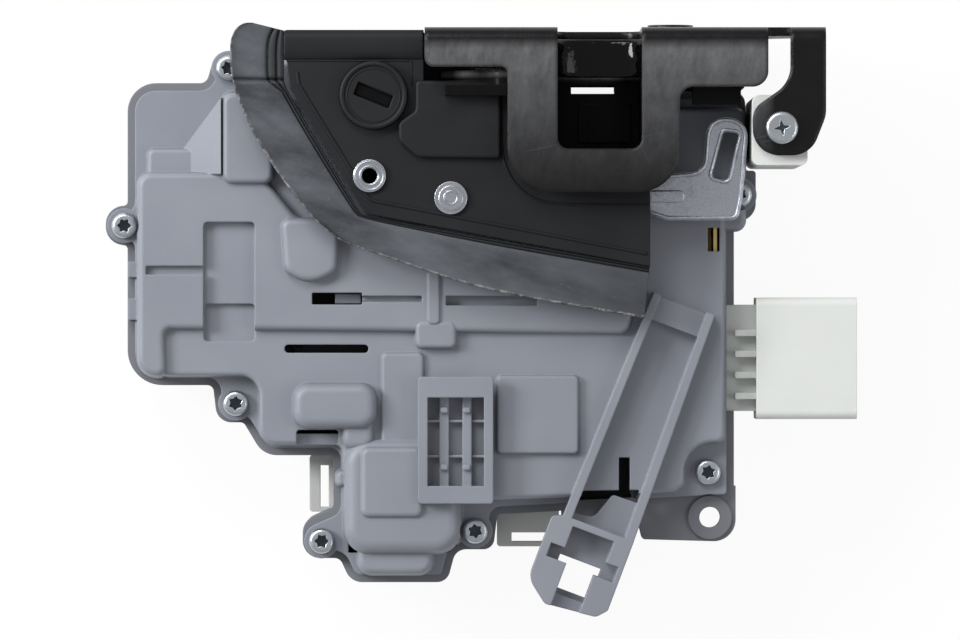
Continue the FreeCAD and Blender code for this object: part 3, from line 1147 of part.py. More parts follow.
connector_pins()
lead_frame()
microswitches()
cover_screws()
hook_screw()

doc.recompute()
failed = [item.Name for item in doc.Objects if {"Invalid", "Error"} & set(item.State)]
failed += [node.Label for node in PARTS if node.Shape.isNull() or not node.Shape.isValid()]
if failed:
    raise RuntimeError("Without a valid shape: " + ", ".join(failed))

os.makedirs("parts", exist_ok=True)
for node in PARTS:
    node.Shape.exportStep(os.path.join("parts", node.Label + ".step"))
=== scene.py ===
"""Looks of the rear door latch actuator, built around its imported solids.

The part lies on its back and is seen from straight above, with x to the right and y up in the picture.
Pieces are laid out in millimetres and turned into metres when their meshes are made. The studio is in metres.
"""
import json
import math

import bmesh
import bpy
import numpy as np
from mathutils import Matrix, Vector


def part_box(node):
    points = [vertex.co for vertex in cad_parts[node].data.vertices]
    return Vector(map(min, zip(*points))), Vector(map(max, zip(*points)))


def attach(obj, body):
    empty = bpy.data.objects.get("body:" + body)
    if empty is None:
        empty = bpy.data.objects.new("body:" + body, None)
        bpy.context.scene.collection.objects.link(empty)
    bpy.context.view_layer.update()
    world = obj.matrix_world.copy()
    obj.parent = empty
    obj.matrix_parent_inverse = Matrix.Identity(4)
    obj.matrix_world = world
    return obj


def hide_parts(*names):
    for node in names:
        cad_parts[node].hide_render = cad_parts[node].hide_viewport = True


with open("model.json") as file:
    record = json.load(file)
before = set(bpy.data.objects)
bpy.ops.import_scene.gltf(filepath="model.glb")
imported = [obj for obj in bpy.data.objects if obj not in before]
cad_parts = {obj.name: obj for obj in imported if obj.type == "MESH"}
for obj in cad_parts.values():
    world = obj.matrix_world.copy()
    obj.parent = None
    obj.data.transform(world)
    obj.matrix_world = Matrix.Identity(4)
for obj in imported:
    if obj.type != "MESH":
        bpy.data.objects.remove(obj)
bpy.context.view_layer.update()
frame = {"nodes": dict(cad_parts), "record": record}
NODES = frame["nodes"]
MM = 0.001

# How far trim reaches into what carries it
FOOT = 0.3
# The panel's pad is its highest place and rises this far above its face
PAD_RISE = 1.4
# The slot in the rotor's face: how far it is turned, in degrees, and how deep it is
ROTOR_TILT = -22.0
ROTOR_SLOT_DEEP = 1.6
# Edges that bend more than this many degrees stay sharp
SHARP_BEND = 50.0
# Degrees between the points of a rounded corner
ARC_STEP = 7.5
# Sockets of a Mix node for colours: its two colours and its result
MIX_FIRST, MIX_SECOND, MIX_RESULT = 6, 7, 2

# Camera: the photograph's frame is this wide and looks at the middle of the housing
PHOTO_WIDE = 218.2 * MM
FOCUS_LEVEL = 36 * MM
CAMERA_HIGH = 2.0
SENSOR_WIDE = 36.0


def level(node, side=1):
    """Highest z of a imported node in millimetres, or its lowest with side 0."""
    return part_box(node)[side][2] / MM


def middle(node):
    """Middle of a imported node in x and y, in millimetres."""
    low, high = (np.array(corner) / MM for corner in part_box(node))
    return (low + high)[:2] / 2


class Value:
    """A shader value in an expression: each operator adds its Math node."""

    def __init__(self, finish, socket):
        self.finish = finish
        self.socket = socket

    def maths(self, operation, *others, clamp=False):
        """A Math node on this value and on others, each of which is a value or a number."""
        inputs = [getattr(item, "socket", item) for item in (self, *others)]
        settings = {"operation": operation, "use_clamp": clamp}
        return Value(self.finish, self.finish.node("ShaderNodeMath", settings, dict(enumerate(inputs))))

    def __add__(self, other):
        return self.maths("ADD", other)

    def __mul__(self, other):
        return self.maths("MULTIPLY", other)

    def __sub__(self, other):
        return self.maths("SUBTRACT", other)

    def __rsub__(self, other):
        return (self * -1) + other

    def __pow__(self, other):
        return self.maths("POWER", other)

    def clamped(self):
        """The value, kept between 0 and 1."""
        return self.maths("ADD", 0.0, clamp=True)

    def step(self, low, high):
        """0 below low and 1 above high, straight between."""
        return ((self - low) * (1 / (high - low))).clamped()

    __radd__ = __add__
    __rmul__ = __mul__


class Finish:
    """A material whose principled shader is ready; constants go straight on its sockets."""

    def __init__(self, name, color, roughness, **constants):
        self.name = name
        self.material = bpy.data.materials.new(name)
        self.material.use_nodes = True
        self.tree = self.material.node_tree
        self.shader = self.tree.nodes["Principled BSDF"]
        self.color = (*color, 1.0)
        self.shader.inputs["Base Color"].default_value = self.color
        self.shader.inputs["Roughness"].default_value = roughness
        for socket, value in constants.items():
            self.shader.inputs[socket.replace("_", " ")].default_value = value
        self.place = self.node("ShaderNodeTexCoord", {}, {}, "Object")

    def node(self, kind, settings, inputs, output=0):
        """Adds a node, sets it, feeds its sockets with values or links, and gives one output."""
        added = self.tree.nodes.new(kind)
        for setting, value in settings.items():
            setattr(added, setting, value)
        for socket, value in inputs.items():
            if isinstance(value, Value):
                value = value.socket
            if isinstance(value, bpy.types.NodeSocket):
                self.tree.links.new(value, added.inputs[socket])
            else:
                added.inputs[socket].default_value = value
        return added.outputs[output]

    def noise(self, per_mm, detail=2.0, rough=0.5, place=None):
        """Cloudy pattern with a number of blobs per millimetre, from 0 to 1."""
        inputs = {"Vector": place or self.place, "Scale": per_mm / MM, "Detail": detail, "Roughness": rough}
        return Value(self, self.node("ShaderNodeTexNoise", {}, inputs))

    def along(self, axis):
        """Object coordinate along x, y or z in millimetres."""
        return Value(self, self.node("ShaderNodeSeparateXYZ", {}, {0: self.place}, axis)) * (1 / MM)

    def stored(self, name):
        """A value that the mesh carries at its points."""
        return Value(self, self.node("ShaderNodeAttribute", {"attribute_name": name}, {}, "Fac"))

    def stretched(self, turn, long):
        """Object coordinates turned about z and squeezed along their new x, for marks that run one way."""
        settings = {"vector_type": "TEXTURE"}
        inputs = {"Rotation": (0.0, 0.0, math.radians(turn)), "Scale": (long, 1.0, 1.0), "Vector": self.place}
        return self.node("ShaderNodeMapping", settings, inputs)

    def scratches(self, turn, per_mm, share, long):
        """Thin straight marks that run one way, in patches: 1 on a mark, 0 elsewhere."""
        marks = self.noise(per_mm, 2.0, 0.5, self.stretched(turn, long))
        patches = self.noise(0.06, 2.0)
        return marks.step(0.72 - share, 0.76 - share) * patches.step(0.42, 0.62)

    def rounded_normal(self, radius):
        """The normal that the surface would have with its corners rounded, radius in millimetres."""
        return self.node("ShaderNodeBevel", {"samples": 6}, {"Radius": radius * MM})

    def edges(self, radius, low=0.03, high=0.25):
        """1 on corners and 0 on flat places: how far a rounded normal leans away from the real one."""
        real = self.node("ShaderNodeNewGeometry", {}, {}, "Normal")
        both = {0: self.rounded_normal(radius), 1: real}
        agreement = self.node("ShaderNodeVectorMath", {"operation": "DOT_PRODUCT"}, both, "Value")
        return (1 - Value(self, agreement)).step(low, high)

    def paint(self, *layers):
        """Base colour: each layer is a mask and the colour that it brings in."""
        color = self.color
        settings = {"data_type": "RGBA", "clamp_factor": True}
        for mask, layer in layers:
            inputs = {"Factor": mask, MIX_FIRST: color, MIX_SECOND: (*layer, 1.0)}
            color = self.node("ShaderNodeMix", settings, inputs, MIX_RESULT)
        self.tree.links.new(color, self.shader.inputs["Base Color"])

    def rough(self, value):
        """Roughness from a value, kept between 0 and 1."""
        self.tree.links.new(value.clamped().socket, self.shader.inputs["Roughness"])

    def relief(self, height, deep, corner=0.0):
        """Bump of a height pattern, deep in millimetres, on a normal whose corners are rounded."""
        inputs = {"Height": height, "Distance": deep * MM, "Strength": 1.0}
        if corner:
            inputs["Normal"] = self.rounded_normal(corner)
        self.tree.links.new(self.node("ShaderNodeBump", {}, inputs), self.shader.inputs["Normal"])


def moulded(name, color, bright, roughness, corner, grain=0.012, shine=0.5):
    """Moulded plastic: fine grain, faint flow clouds and a painted highlight that makes its corners paler in
    patches.
    """
    finish = Finish(name, color, roughness, Specular_IOR_Level=shine)
    clouds = finish.noise(0.05, 3.0).step(0.35, 0.7)
    # Paler corners in patches: a painted highlight
    edge_highlight = finish.edges(0.45) * finish.noise(0.3, 3.0).step(0.3, 0.7)
    dust = finish.noise(2.2, 3.0, 0.7).step(0.66, 0.8)
    finish.paint((clouds * 0.2, bright), (edge_highlight * 0.8, bright), (dust * 0.15, bright))
    finish.rough(roughness + clouds * 0.06 - edge_highlight * 0.1)
    finish.relief(finish.noise(6.0, 2.0), grain, corner)
    return finish


def rubber_finish():
    """Dull rubber: scuffed clouds, fine pale specks, small nicks and a pale frayed outer edge."""
    scuffed_grey, chalk_grey, nick_grey = (0.1, 0.107, 0.121), (0.2, 0.21, 0.23), (0.2, 0.2, 0.21)
    strip_black, frayed_grey = (0.009, 0.01, 0.012), (0.36, 0.36, 0.34)
    rubber = Finish("rubber_grey", (0.026, 0.029, 0.035), 0.62, Specular_IOR_Level=0.3)
    scuffed = rubber.noise(0.09, 5.0, 0.6, rubber.stretched(-15, 2.5)).step(0.38, 0.68)
    chalk = rubber.noise(2.6, 3.0, 0.7).step(0.66, 0.76)
    nicks = rubber.scratches(-35, 3.4, 0.02, 7.0) + rubber.scratches(40, 3.0, 0.015, 6.0)
    frayed = rubber.stored("rim") * rubber.noise(0.7, 5.0, 0.75).step(0.44, 0.66)
    # The scuffs fade towards the lip's right end
    scuffing = 0.8 - rubber.along("X").step(12.0, 30.0) * 0.45
    rubber.paint((scuffed * scuffing, scuffed_grey), (chalk * 0.3, chalk_grey), (nicks * 0.3, nick_grey),
                 (rubber.stored("strip") * 0.85, strip_black), (frayed * 0.7, frayed_grey))
    rubber.rough(0.5 + scuffed * 0.25)
    rubber.relief(rubber.noise(1.2, 3.0) + nicks * 0.4, 0.04, 0.3)
    return rubber


def plate_finish():
    """Black electro-coat: glossy bent edges painted dark as shade, satin faces with a painted sheen and
    handling marks in patches, and a painted highlight on its corners in patches.
    """
    sheen_grey, bend_shade_black, edge_highlight_grey = (0.11, 0.112, 0.117), (0.003, 0.003, 0.0035), (0.08, 0.082, 0.088)
    mark_grey, speck_grey = (0.12, 0.12, 0.125), (0.12, 0.12, 0.12)
    plate = Finish("plate_black", (0.0025, 0.0025, 0.003), 0.26, Specular_IOR_Level=0.28)
    # The satin finish and its painted sheen are strongest below the rolled edge and fade down the U; the hook
    # at the right has neither
    u_flange, rolled_edge, hook = (26.0, 60.0), (61.0, 63.4), (64.0, 66.5)
    high = plate.along("Y")
    satin_and_sheen = high.step(*u_flange) ** 1.4 * (1 - high.step(*rolled_edge)) * (1 - plate.along("X").step(*hook))
    drawn = plate.noise(0.5, 5.0, 0.7, plate.stretched(80, 2.5)).step(0.3, 0.72)
    clouds = plate.noise(0.25, 4.0, 0.6).step(0.3, 0.7)
    marks = plate.scratches(12, 2.2, 0.03, 30.0) + plate.scratches(-64, 2.0, 0.025, 24.0) * 0.7
    # Bent edges: glossier, and painted dark as shade
    shaded_bends = plate.edges(1.6, 0.01, 0.16)
    # Paler corners in patches: a painted highlight
    edge_highlight = plate.edges(0.4) * plate.noise(0.5, 3.0).step(0.35, 0.65)
    specks = plate.noise(3.0, 2.0, 0.6).step(0.7, 0.8)
    plate.paint((satin_and_sheen * (drawn * 0.45 + clouds * 0.2 + 0.35), sheen_grey), (shaded_bends * 0.8, bend_shade_black),
                (edge_highlight * 0.3, edge_highlight_grey), (marks * 0.3, mark_grey), (specks * 0.2, speck_grey))
    plate.rough(0.22 + satin_and_sheen * 0.22 + clouds * 0.08 - shaded_bends * 0.06)
    plate.relief(plate.noise(1.6, 2.0) + marks * 0.3, 0.02, 1.3)
    return plate


def zinc_finish(name, color, dull, roughness, recess=None):
    """Zinc plating: small crystals in two greys, a painted highlight on its corners, and painted shade below
    a recess level in mm.
    """
    corner_highlight, recess_shade = (0.8, 0.82, 0.85), (0.03, 0.04, 0.055)
    zinc = Finish(name, color, roughness, Metallic=1.0)
    crystals = zinc.node("ShaderNodeTexVoronoi", {}, {"Vector": zinc.place, "Scale": 2.6 / MM})
    spangle = Value(zinc, crystals)
    stains = zinc.noise(0.35, 4.0, 0.6).step(0.4, 0.7)
    layers = [(spangle.step(0.2, 0.75) * 0.5, dull), (stains * 0.45, dull),
              # Paler corners: a painted highlight
              (zinc.edges(0.3) * 0.8, corner_highlight)]
    if recess is not None:
        # Painted shade on the recess floor and the lower rims of the heads
        inside = 1 - zinc.along("Z").step(recess + 0.3, recess + 1.2)
        layers.append((inside * 0.95, recess_shade))
    zinc.paint(*layers)
    zinc.rough(roughness + spangle * 0.18 + stains * 0.12)
    zinc.relief(spangle + zinc.noise(4.0, 2.0), 0.012, 0.25)
    return zinc


def white_finish():
    """Off-white plastic that lets a little light in, with faint clouds and a painted highlight that makes its
    edges paler.
    """
    white = Finish("natural_white", (0.57, 0.59, 0.575), 0.34, Subsurface_Weight=0.2, Subsurface_Scale=0.001)
    clouds = white.noise(0.08, 2.0).step(0.3, 0.8)
    # Paler edges: a painted highlight
    white.paint((clouds * 0.5, (0.62, 0.635, 0.61)), (white.edges(0.4) * 0.5, (0.76, 0.77, 0.76)))
    white.relief(white.noise(3.0, 2.0), 0.01, 0.35)
    return white


def inner_finish():
    """Black moulding inside the throat, also the sheet of painted shade in the rotor's slot, with a faint
    grain up and down.
    """
    black = Finish("inner_black", (0.0015, 0.0015, 0.0018), 0.3, Specular_IOR_Level=0.12)
    black.rough(0.3 + black.noise(0.4, 3.0, 0.5, black.stretched(90, 12.0)) * 0.2)
    black.relief(black.noise(0.5, 2.0, 0.5, black.stretched(90, 12.0)), 0.03, 0.4)
    return black


def gloss_finish():
    """Glossy black of the bridge over the throat, with slow waves that break up its reflections."""
    gloss = Finish("gloss_black", (0.001, 0.001, 0.0012), 0.08, Specular_IOR_Level=0.2)
    gloss.rough(0.05 + gloss.noise(0.3, 3.0) * 0.1)
    gloss.relief(gloss.noise(0.2, 3.0), 0.5)
    return gloss


def bare_metal(name, color, roughness, per_mm, detail, spread):
    """Plain metal whose roughness varies in clouds, from roughness up by spread."""
    metal = Finish(name, color, roughness, Metallic=1.0)
    metal.rough(roughness + metal.noise(per_mm, detail) * spread)
    return metal


def build_materials():
    """Every finish by its name: a slot of the record, the bridge's gloss, or the node of a screw."""
    can = bare_metal("motor_steel", (0.5, 0.5, 0.52), 0.25, 0.3, 3.0, 0.2)
    can.relief(can.noise(2.0, 2.0), 0.01, 0.3)
    finishes = [
        moulded("cover_grey", (0.178, 0.19, 0.222), (0.28, 0.293, 0.328), 0.46, 0.5),
        # The base is the same plastic as the cover; its darker grey is painted shade
        moulded("base_grey", (0.128, 0.135, 0.153), (0.19, 0.2, 0.22), 0.5, 0.4),
        moulded("panel_black", (0.0065, 0.007, 0.0085), (0.022, 0.023, 0.026), 0.5, 0.45, 0.02, 0.22),
        moulded("switch_black", (0.015, 0.015, 0.017), (0.04, 0.04, 0.045), 0.5, 0.2),
        moulded("gear_plastic", (0.02, 0.02, 0.019), (0.05, 0.048, 0.042), 0.4, 0.15),
        zinc_finish("zinc_steel", (0.5, 0.52, 0.57), (0.24, 0.25, 0.29), 0.24),
        bare_metal("spring_steel", (0.5, 0.5, 0.51), 0.2, 2.0, 2.0, 0.15),
        bare_metal("brass", (0.72, 0.55, 0.24), 0.25, 1.0, 3.0, 0.2),
        can, rubber_finish(), plate_finish(), white_finish(), inner_finish(), gloss_finish(),
    ]
    materials = {finish.name: finish.material for finish in finishes}
    # Each screw's finish has painted shade below the floor of its recess
    for node, recess_deep in (("cover_screws", 1.7), ("hook_screw", 1.9)):
        recess = level(node) - recess_deep
        screw = zinc_finish(node + "_zinc", (0.56, 0.6, 0.64), (0.36, 0.39, 0.42), 0.2, recess)
        materials[node] = screw.material
    return materials


FINISHES = build_materials()


def dress_nodes():
    """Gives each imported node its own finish, or else the one that the record names for it."""
    for part in frame["record"]["subparts"]:
        node = NODES[part["node"]]
        node.data.materials.clear()
        node.data.materials.append(FINISHES.get(part["node"], FINISHES[part["material_slot"]]))


def path_points(corners, radii, closed):
    """Points along straight runs whose corners are rounded by arcs: centre + radius (cos a, sin a)."""
    corners = np.array(corners, dtype=float)
    count = len(corners)
    points = []
    for index, radius in enumerate(radii):
        here = corners[index]
        if radius == 0 or (not closed and index in (0, count - 1)):
            points.append(here)
            continue
        back = corners[index - 1] - here
        on = corners[(index + 1) % count] - here
        back, on = back / np.linalg.norm(back), on / np.linalg.norm(on)
        half = math.acos(np.clip(back @ on, -1, 1)) / 2
        centre = here + (back + on) / np.linalg.norm(back + on) * radius / math.sin(half)
        start = here + back * radius / math.tan(half) - centre
        end = here + on * radius / math.tan(half) - centre
        first = math.atan2(start[1], start[0])
        sweep = (math.atan2(end[1], end[0]) - first + math.pi) % (2 * math.pi) - math.pi
        angles = first + np.linspace(0, sweep, max(3, int(abs(sweep) / math.radians(ARC_STEP)) + 2))
        points.extend(centre + radius * np.stack([np.cos(angles), np.sin(angles)], axis=1))
    return np.array(points)


def ring_path(centre, radius, count):
    """Points round a circle, anticlockwise."""
    turns = np.linspace(0, 2 * math.pi, count, endpoint=False)
    return centre + radius * np.stack([np.cos(turns), np.sin(turns)], axis=1)


def rectangle(half_long, half_wide):
    """Corners of a rectangle round the origin, anticlockwise from the lower left."""
    signs = np.array([(-1, -1), (1, -1), (1, 1), (-1, 1)])
    return signs * (half_long, half_wide)


def sides(points, closed):
    """Unit vectors to the left of a path at its points, longer at corners so that offsets stay parallel."""
    shortest_run, sharpest_corner = 1e-9, 0.4
    if closed:
        before, after = points - np.roll(points, 1, axis=0), np.roll(points, -1, axis=0) - points
    else:
        steps = np.diff(points, axis=0)
        before, after = np.vstack([steps[:1], steps]), np.vstack([steps, steps[-1:]])
    before = before / np.maximum(np.linalg.norm(before, axis=1, keepdims=True), shortest_run)
    after = after / np.maximum(np.linalg.norm(after, axis=1, keepdims=True), shortest_run)
    mean = before + after
    mean /= np.linalg.norm(mean, axis=1, keepdims=True)
    stretch = 1 / np.maximum(np.sum(mean * after, axis=1, keepdims=True), sharpest_corner)
    return np.stack([-mean[:, 1], mean[:, 0]], axis=1) * stretch


def smoothed(corners, rounds=4):
    """Soft curve through a chain of corners: each round cuts every corner at a quarter of its runs."""
    points = np.array(corners, dtype=float)
    for _ in range(rounds):
        behind, ahead = points[:-1], points[1:]
        cut = np.stack([behind * 0.75 + ahead * 0.25, behind * 0.25 + ahead * 0.75], axis=1).reshape(-1, 2)
        points = np.concatenate([points[:1], cut, points[-1:]])
    return points


def spaced(path, count):
    """The path with its points evenly spaced along it."""
    path = np.array(path, dtype=float)
    run = np.concatenate([[0], np.cumsum(np.linalg.norm(np.diff(path, axis=0), axis=1))])
    spots = np.linspace(0, run[-1], count)
    return np.stack([np.interp(spots, run, path[:, axis]) for axis in (0, 1)], axis=1)


def grid_faces(rows, columns, rows_meet):
    """Quads of a grid whose points are numbered row by row; its columns meet, and its rows may too."""
    row = np.arange(rows if rows_meet else rows - 1)
    row, column = np.meshgrid(row, np.arange(columns), indexing="ij")
    next_row, next_column = (row + 1) % rows, (column + 1) % columns
    corners = [row * columns + column, row * columns + next_column, next_row * columns + next_column,
               next_row * columns + column]
    return np.stack(corners, axis=-1).reshape(-1, 4)


def raised(flat, heights):
    """Points in space from a grid of places in x and y and their heights z."""
    return np.concatenate([flat, np.broadcast_to(heights, flat.shape[:2])[:, :, None]], axis=2)


def add_piece(name, points, slot, body, closed=False, finish=None):
    """A closed mesh piece that rides on a body, from rows of points in millimetres.

    Each row runs round the cross-section. If closed is set the last row meets the first one, or else a
    polygon caps each end.
    """
    rows, columns = points.shape[:2]
    faces = grid_faces(rows, columns, closed).tolist()
    if not closed:
        faces += [list(range(columns)), list(range((rows - 1) * columns, rows * columns))]
    mesh = bpy.data.meshes.new(name)
    mesh.from_pydata((points.reshape(-1, 3) * MM).tolist(), [], faces)
    shape = bmesh.new()
    shape.from_mesh(mesh)
    bmesh.ops.recalc_face_normals(shape, faces=shape.faces)
    shape.to_mesh(mesh)
    shape.free()
    mesh.polygons.foreach_set("use_smooth", [True] * len(mesh.polygons))
    mesh.set_sharp_from_angle(angle=math.radians(SHARP_BEND))
    piece = bpy.data.objects.new(name, mesh)
    bpy.context.scene.collection.objects.link(piece)
    mesh.materials.append(FINISHES[finish or slot])
    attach(piece, body)
    return piece


def swept(name, path, profile, slot, body, closed=False):
    """A closed cross-section carried along a path: its rows are the way to the left and the height z."""
    profile = np.array(profile, dtype=float)
    flat = path[:, None, :] + sides(path, closed)[:, None, :] * profile[None, :, :1]
    return add_piece(name, raised(flat, profile[:, 1]), slot, body, closed)


def bead(name, path, wide, high, base, slot, body, closed=False):
    """Half-round bead on a surface: way wide/2 cos a, height base + high sin a, with a foot below."""
    turns = np.linspace(0, math.pi, 9)
    arc = np.stack([np.cos(turns) * wide / 2, base + np.sin(turns) * high], axis=1)
    foot = [(-wide / 2, base - FOOT), (wide / 2, base - FOOT)]
    return swept(name, path, np.concatenate([arc, foot]), slot, body, closed)


def slab(name, outline, low, high, soft, slot, body, finish=None):
    """Plate with a quarter-round edge, inside an anticlockwise outline.

    The edge's inset is soft (1 - cos a) and its height soft sin a, for a from 0 to a quarter turn.
    """
    turns = np.linspace(0, math.pi / 2, 7)
    cap_inset = soft + 0.1
    inward = np.concatenate([[0.0], soft * (1 - np.cos(turns)), [cap_inset]])
    up = np.concatenate([[low], high - soft + soft * np.sin(turns), [high]])
    flat = outline[None, :, :] + sides(outline, True)[None, :, :] * inward[:, None, None]
    return add_piece(name, raised(flat, up[:, None]), slot, body, False, finish)


# Outer edge of the rubber lip in three runs: its top lobe, down to the lower left corner, and the bottom
LIP_OUTER = [
    [(-51.6, 67.2), (-53.4, 67.2), (-55.2, 66.1), (-56.5, 63.6), (-56.6, 60.0), (-56.5, 57.0), (-56.0, 54.0)],
    [(-56.0, 54.0), (-55.2, 50.8), (-52.8, 44.8), (-48.6, 37.2), (-42.4, 28.4), (-38.4, 23.4), (-35.4, 20.7)],
    [(-35.4, 20.7), (-33.0, 18.7), (-29.5, 16.9), (-20.0, 13.7), (-10.0, 10.2), (0.0, 7.1), (12.0, 4.6),
     (37.2, 0.3)],
]
# The panel's edge beside those runs
LIP_INNER = [
    [(-44.4, 65.4), (-44.4, 54.0)],
    [(-44.4, 54.0), (-43.6, 51.6), (-29.6, 28.2), (-27.4, 24.6)],
    [(-27.4, 24.6), (-25.8, 23.2), (38.4, 12.0)],
]
# Points along each run
LIP_COUNTS = (46, 90, 120)
# Cross-section of the lip: shares of its width, from the outer edge inwards, and of its thickness
LIP_PROFILE = [
    (0.0, 0.1), (0.0, 0.66), (0.02, 0.76), (0.035, 0.72), (0.06, 0.68), (0.2, 0.7), (0.4, 0.76), (0.6, 0.84),
    (0.75, 0.88), (0.85, 0.9), (0.875, 0.86), (0.89, 0.6), (0.905, 0.8), (0.925, 0.84), (0.94, 0.82),
    (0.95, 0.62), (0.96, 0.88), (0.97, 0.98), (0.985, 0.98), (1.0, 0.9), (1.0, 0.0),
]
# Shares of the width at which the frayed edge ends and the two ribs start
LIP_RIM_END = 0.05
LIP_RIBS_START = 0.875


def lip_edge(runs):
    """One long edge of the lip: its soft runs, joined, with evenly spaced points in each."""
    pieces = [spaced(smoothed(run), count) for run, count in zip(runs, LIP_COUNTS)]
    return np.concatenate([piece[:-1] for piece in pieces[:-1]] + [pieces[-1]])


def lip_dip(row, at, long):
    """Bell-shaped dip across the lip, as a share of its thickness: 0.35 exp(-((row - at) / long) squared)."""
    return 0.35 * np.exp(-((row - at) / long) ** 2)


def rubber_lip():
    """Seal swept between its two edges: frayed edge, flat band, then two ribs with a line on each side.

    A point lies at outer + (inner - outer) share, and its height is low + thickness (rise - dips).
    """
    low, high = level("panel_seal", 0), level("panel_seal")
    outer, inner = lip_edge(LIP_OUTER), lip_edge(LIP_INNER)
    row = np.arange(len(outer))[:, None]
    lobe_end, corner = LIP_COUNTS[0], LIP_COUNTS[0] + LIP_COUNTS[1]
    share, rise = np.array(LIP_PROFILE).T
    bands = {"rim": share < LIP_RIM_END, "strip": share > LIP_RIBS_START}

    # Beside the lobe the two ribs take a larger share of the width, and the change takes a few rows
    usual_share, lobe_share, change_end, change_rows = 1 - LIP_RIBS_START, 0.35, lobe_end + 6, 8
    beside_lobe = np.clip((change_end - row) / change_rows, 0, 1)
    ribs_wide = usual_share + (lobe_share - usual_share) * beside_lobe
    in_ribs = (share - LIP_RIBS_START) / (1 - LIP_RIBS_START)
    share = np.where(bands["strip"], 1 - ribs_wide * (1 - in_ribs), share * (1 - ribs_wide) / LIP_RIBS_START)
    flat = outer[:, None, :] + (inner - outer)[:, None, :] * share[:, :, None]

    # A moulded seam crosses the band below the lobe, and a shallow fold crosses it at the lower left corner
    seam = lip_dip(row, lobe_end - 2, 1.1)
    fold = lip_dip(row, corner, 9.0) * (share > 0.05) * (share < 0.7)
    heights = low + (high - low) * (rise - (seam + fold) * (rise > 0.2))
    piece = add_piece("rubber_lip", raised(flat, heights), "rubber_grey", "housing")
    for name, band in bands.items():
        stored = piece.data.attributes.new(name, "FLOAT", "POINT")
        stored.data.foreach_set("value", np.broadcast_to(band, share.shape).astype(np.float32).reshape(-1))
    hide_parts("panel_seal")


def panel_details():
    """Rolled top edge of the panel, its lines and steps, its pad, and the skirt under its right edge."""
    face = level("latch_panel") - PAD_RISE
    rolled = [(3.4, face - FOOT), (3.4, face - 0.1), (3.2, face + 0.15), (2.6, face + 0.55),
              (1.2, face + 0.8), (-1.6, face + 0.85), (-2.8, face + 0.6), (-3.3, face - FOOT)]
    swept("panel_roll", spaced([(-12.9, 62.1), (-44.3, 62.1)], 40), rolled, "panel_black", "housing")

    line = spaced([(-43.8, 58.5), (-15.8, 58.5)], 30)
    line_end = spaced([(-15.6, 58.5), (-15.4, 53.0)], 10)
    fold = path_points([(-41.4, 56.0), (-41.0, 53.2), (-25.0, 27.0), (37.6, 14.9)], [0, 1.5, 3.0, 0], False)
    step = smoothed([(4.8, 52.0), (4.8, 38.0), (6.2, 33.0), (9.4, 29.0), (14.0, 26.4), (22.0, 25.9),
                     (38.2, 25.9)], 3)
    for name, path, wide, high in (("panel_line", line, 0.4, 0.25), ("panel_end", line_end, 0.4, 0.25),
                                   ("panel_fold", fold, 0.8, 0.35), ("panel_step", step, 0.6, 0.4)):
        bead(name, path, wide, high, face, "panel_black", "housing")

    pad = path_points([(4.7, 36.4), (4.7, 54.0), (-14.6, 54.0), (-14.6, 47.2), (-18.4, 44.6), (-18.4, 40.4),
                       (-14.2, 36.6)], [1.0, 1.0, 1.0, 1.4, 1.9, 2.4, 2.8], True)
    pad_top = face + PAD_RISE + 0.35
    slab("panel_pad", pad, face - FOOT, pad_top, 0.65, "panel_black", "housing")
    skirt = path_points([(-14.9, 50.3), (-9.02, 50.3), (-9.02, 56.2), (-1.0, 56.2), (-1.0, 62.3),
                         (-12.62, 62.3), (-12.62, 65.3), (-14.9, 65.3)], [0.2] * 8, True)
    skirt_low, skirt_high = 31.0, 33.6
    slab("panel_skirt", skirt, skirt_low, skirt_high, 0.08, "panel_black", "housing")


def throat_saddle():
    """Glossy bridge across the top of the throat, between the two arms of the U.

    Its cross-section, in y and z, is carried along x = middle + half_wide u for u from -1 to 1, and it
    rises towards the arms by arm_rise |u|^4.
    """
    middle_x, half_wide, base, arm_rise = 27.05, 9.75, 48.7, 3.7
    profile = np.array([(63.2, -0.2), (63.0, 0.3), (62.3, 0.55), (59.0, 0.5), (56.0, 0.45), (55.0, 0.2),
                        (54.6, -0.3), (55.4, -0.4), (62.6, -0.4)])
    across = np.linspace(-1, 1, 41)[:, None]
    flat = np.stack(np.broadcast_arrays(middle_x + half_wide * across, profile[:, 0]), axis=2)
    heights = base + arm_rise * np.abs(across) ** 4 + profile[:, 1]
    add_piece("throat_saddle", raised(flat, heights), "plate_black", "housing", False, "gloss_black")


# Outlines of the plated lever and of its slot, both clockwise, each with the radii of its corners
LEVER = [(22.5, 31.4), (33.0, 31.6), (38.5, 32.8), (50.5, 33.5), (51.5, 46.0), (61.0, 45.5), (59.5, 27.5),
         (58.5, 22.5), (42.5, 22.5), (36.0, 24.5), (22.5, 25.4)]
LEVER_ROUND = [3.0, 2.0, 1.0, 3.0, 4.5, 4.5, 1.0, 2.0, 1.0, 2.0, 3.0]
LEVER_SLOT = [(55.2, 42.6), (58.7, 42.2), (56.0, 31.4), (52.4, 32.3)]
LEVER_SLOT_ROUND = [0.9] * 4


def lever_details():
    """Curled edge of the plated lever, the rolled edge of its slot and its pressed bump."""
    top = level("outside_release_lever")
    edge = path_points(LEVER, LEVER_ROUND, True)
    slot = path_points(LEVER_SLOT, LEVER_SLOT_ROUND, True)
    for name, path, outward, wide, high in (("lever_curl", edge, -0.55, 0.9, 0.5),
                                            ("lever_slot_edge", slot, 0.45, 0.8, 0.4)):
        bead(name, path + sides(path, True) * outward, wide, high, top, "zinc_steel", "outside_lever", True)
    bump = path_points([(46.4, 26.5), (46.4, 29.3), (30.0, 29.3), (30.0, 26.5)], [1.3] * 4, True)
    slab("lever_bump", bump, top - 0.2, top + 0.45, 0.4, "zinc_steel", "outside_lever")


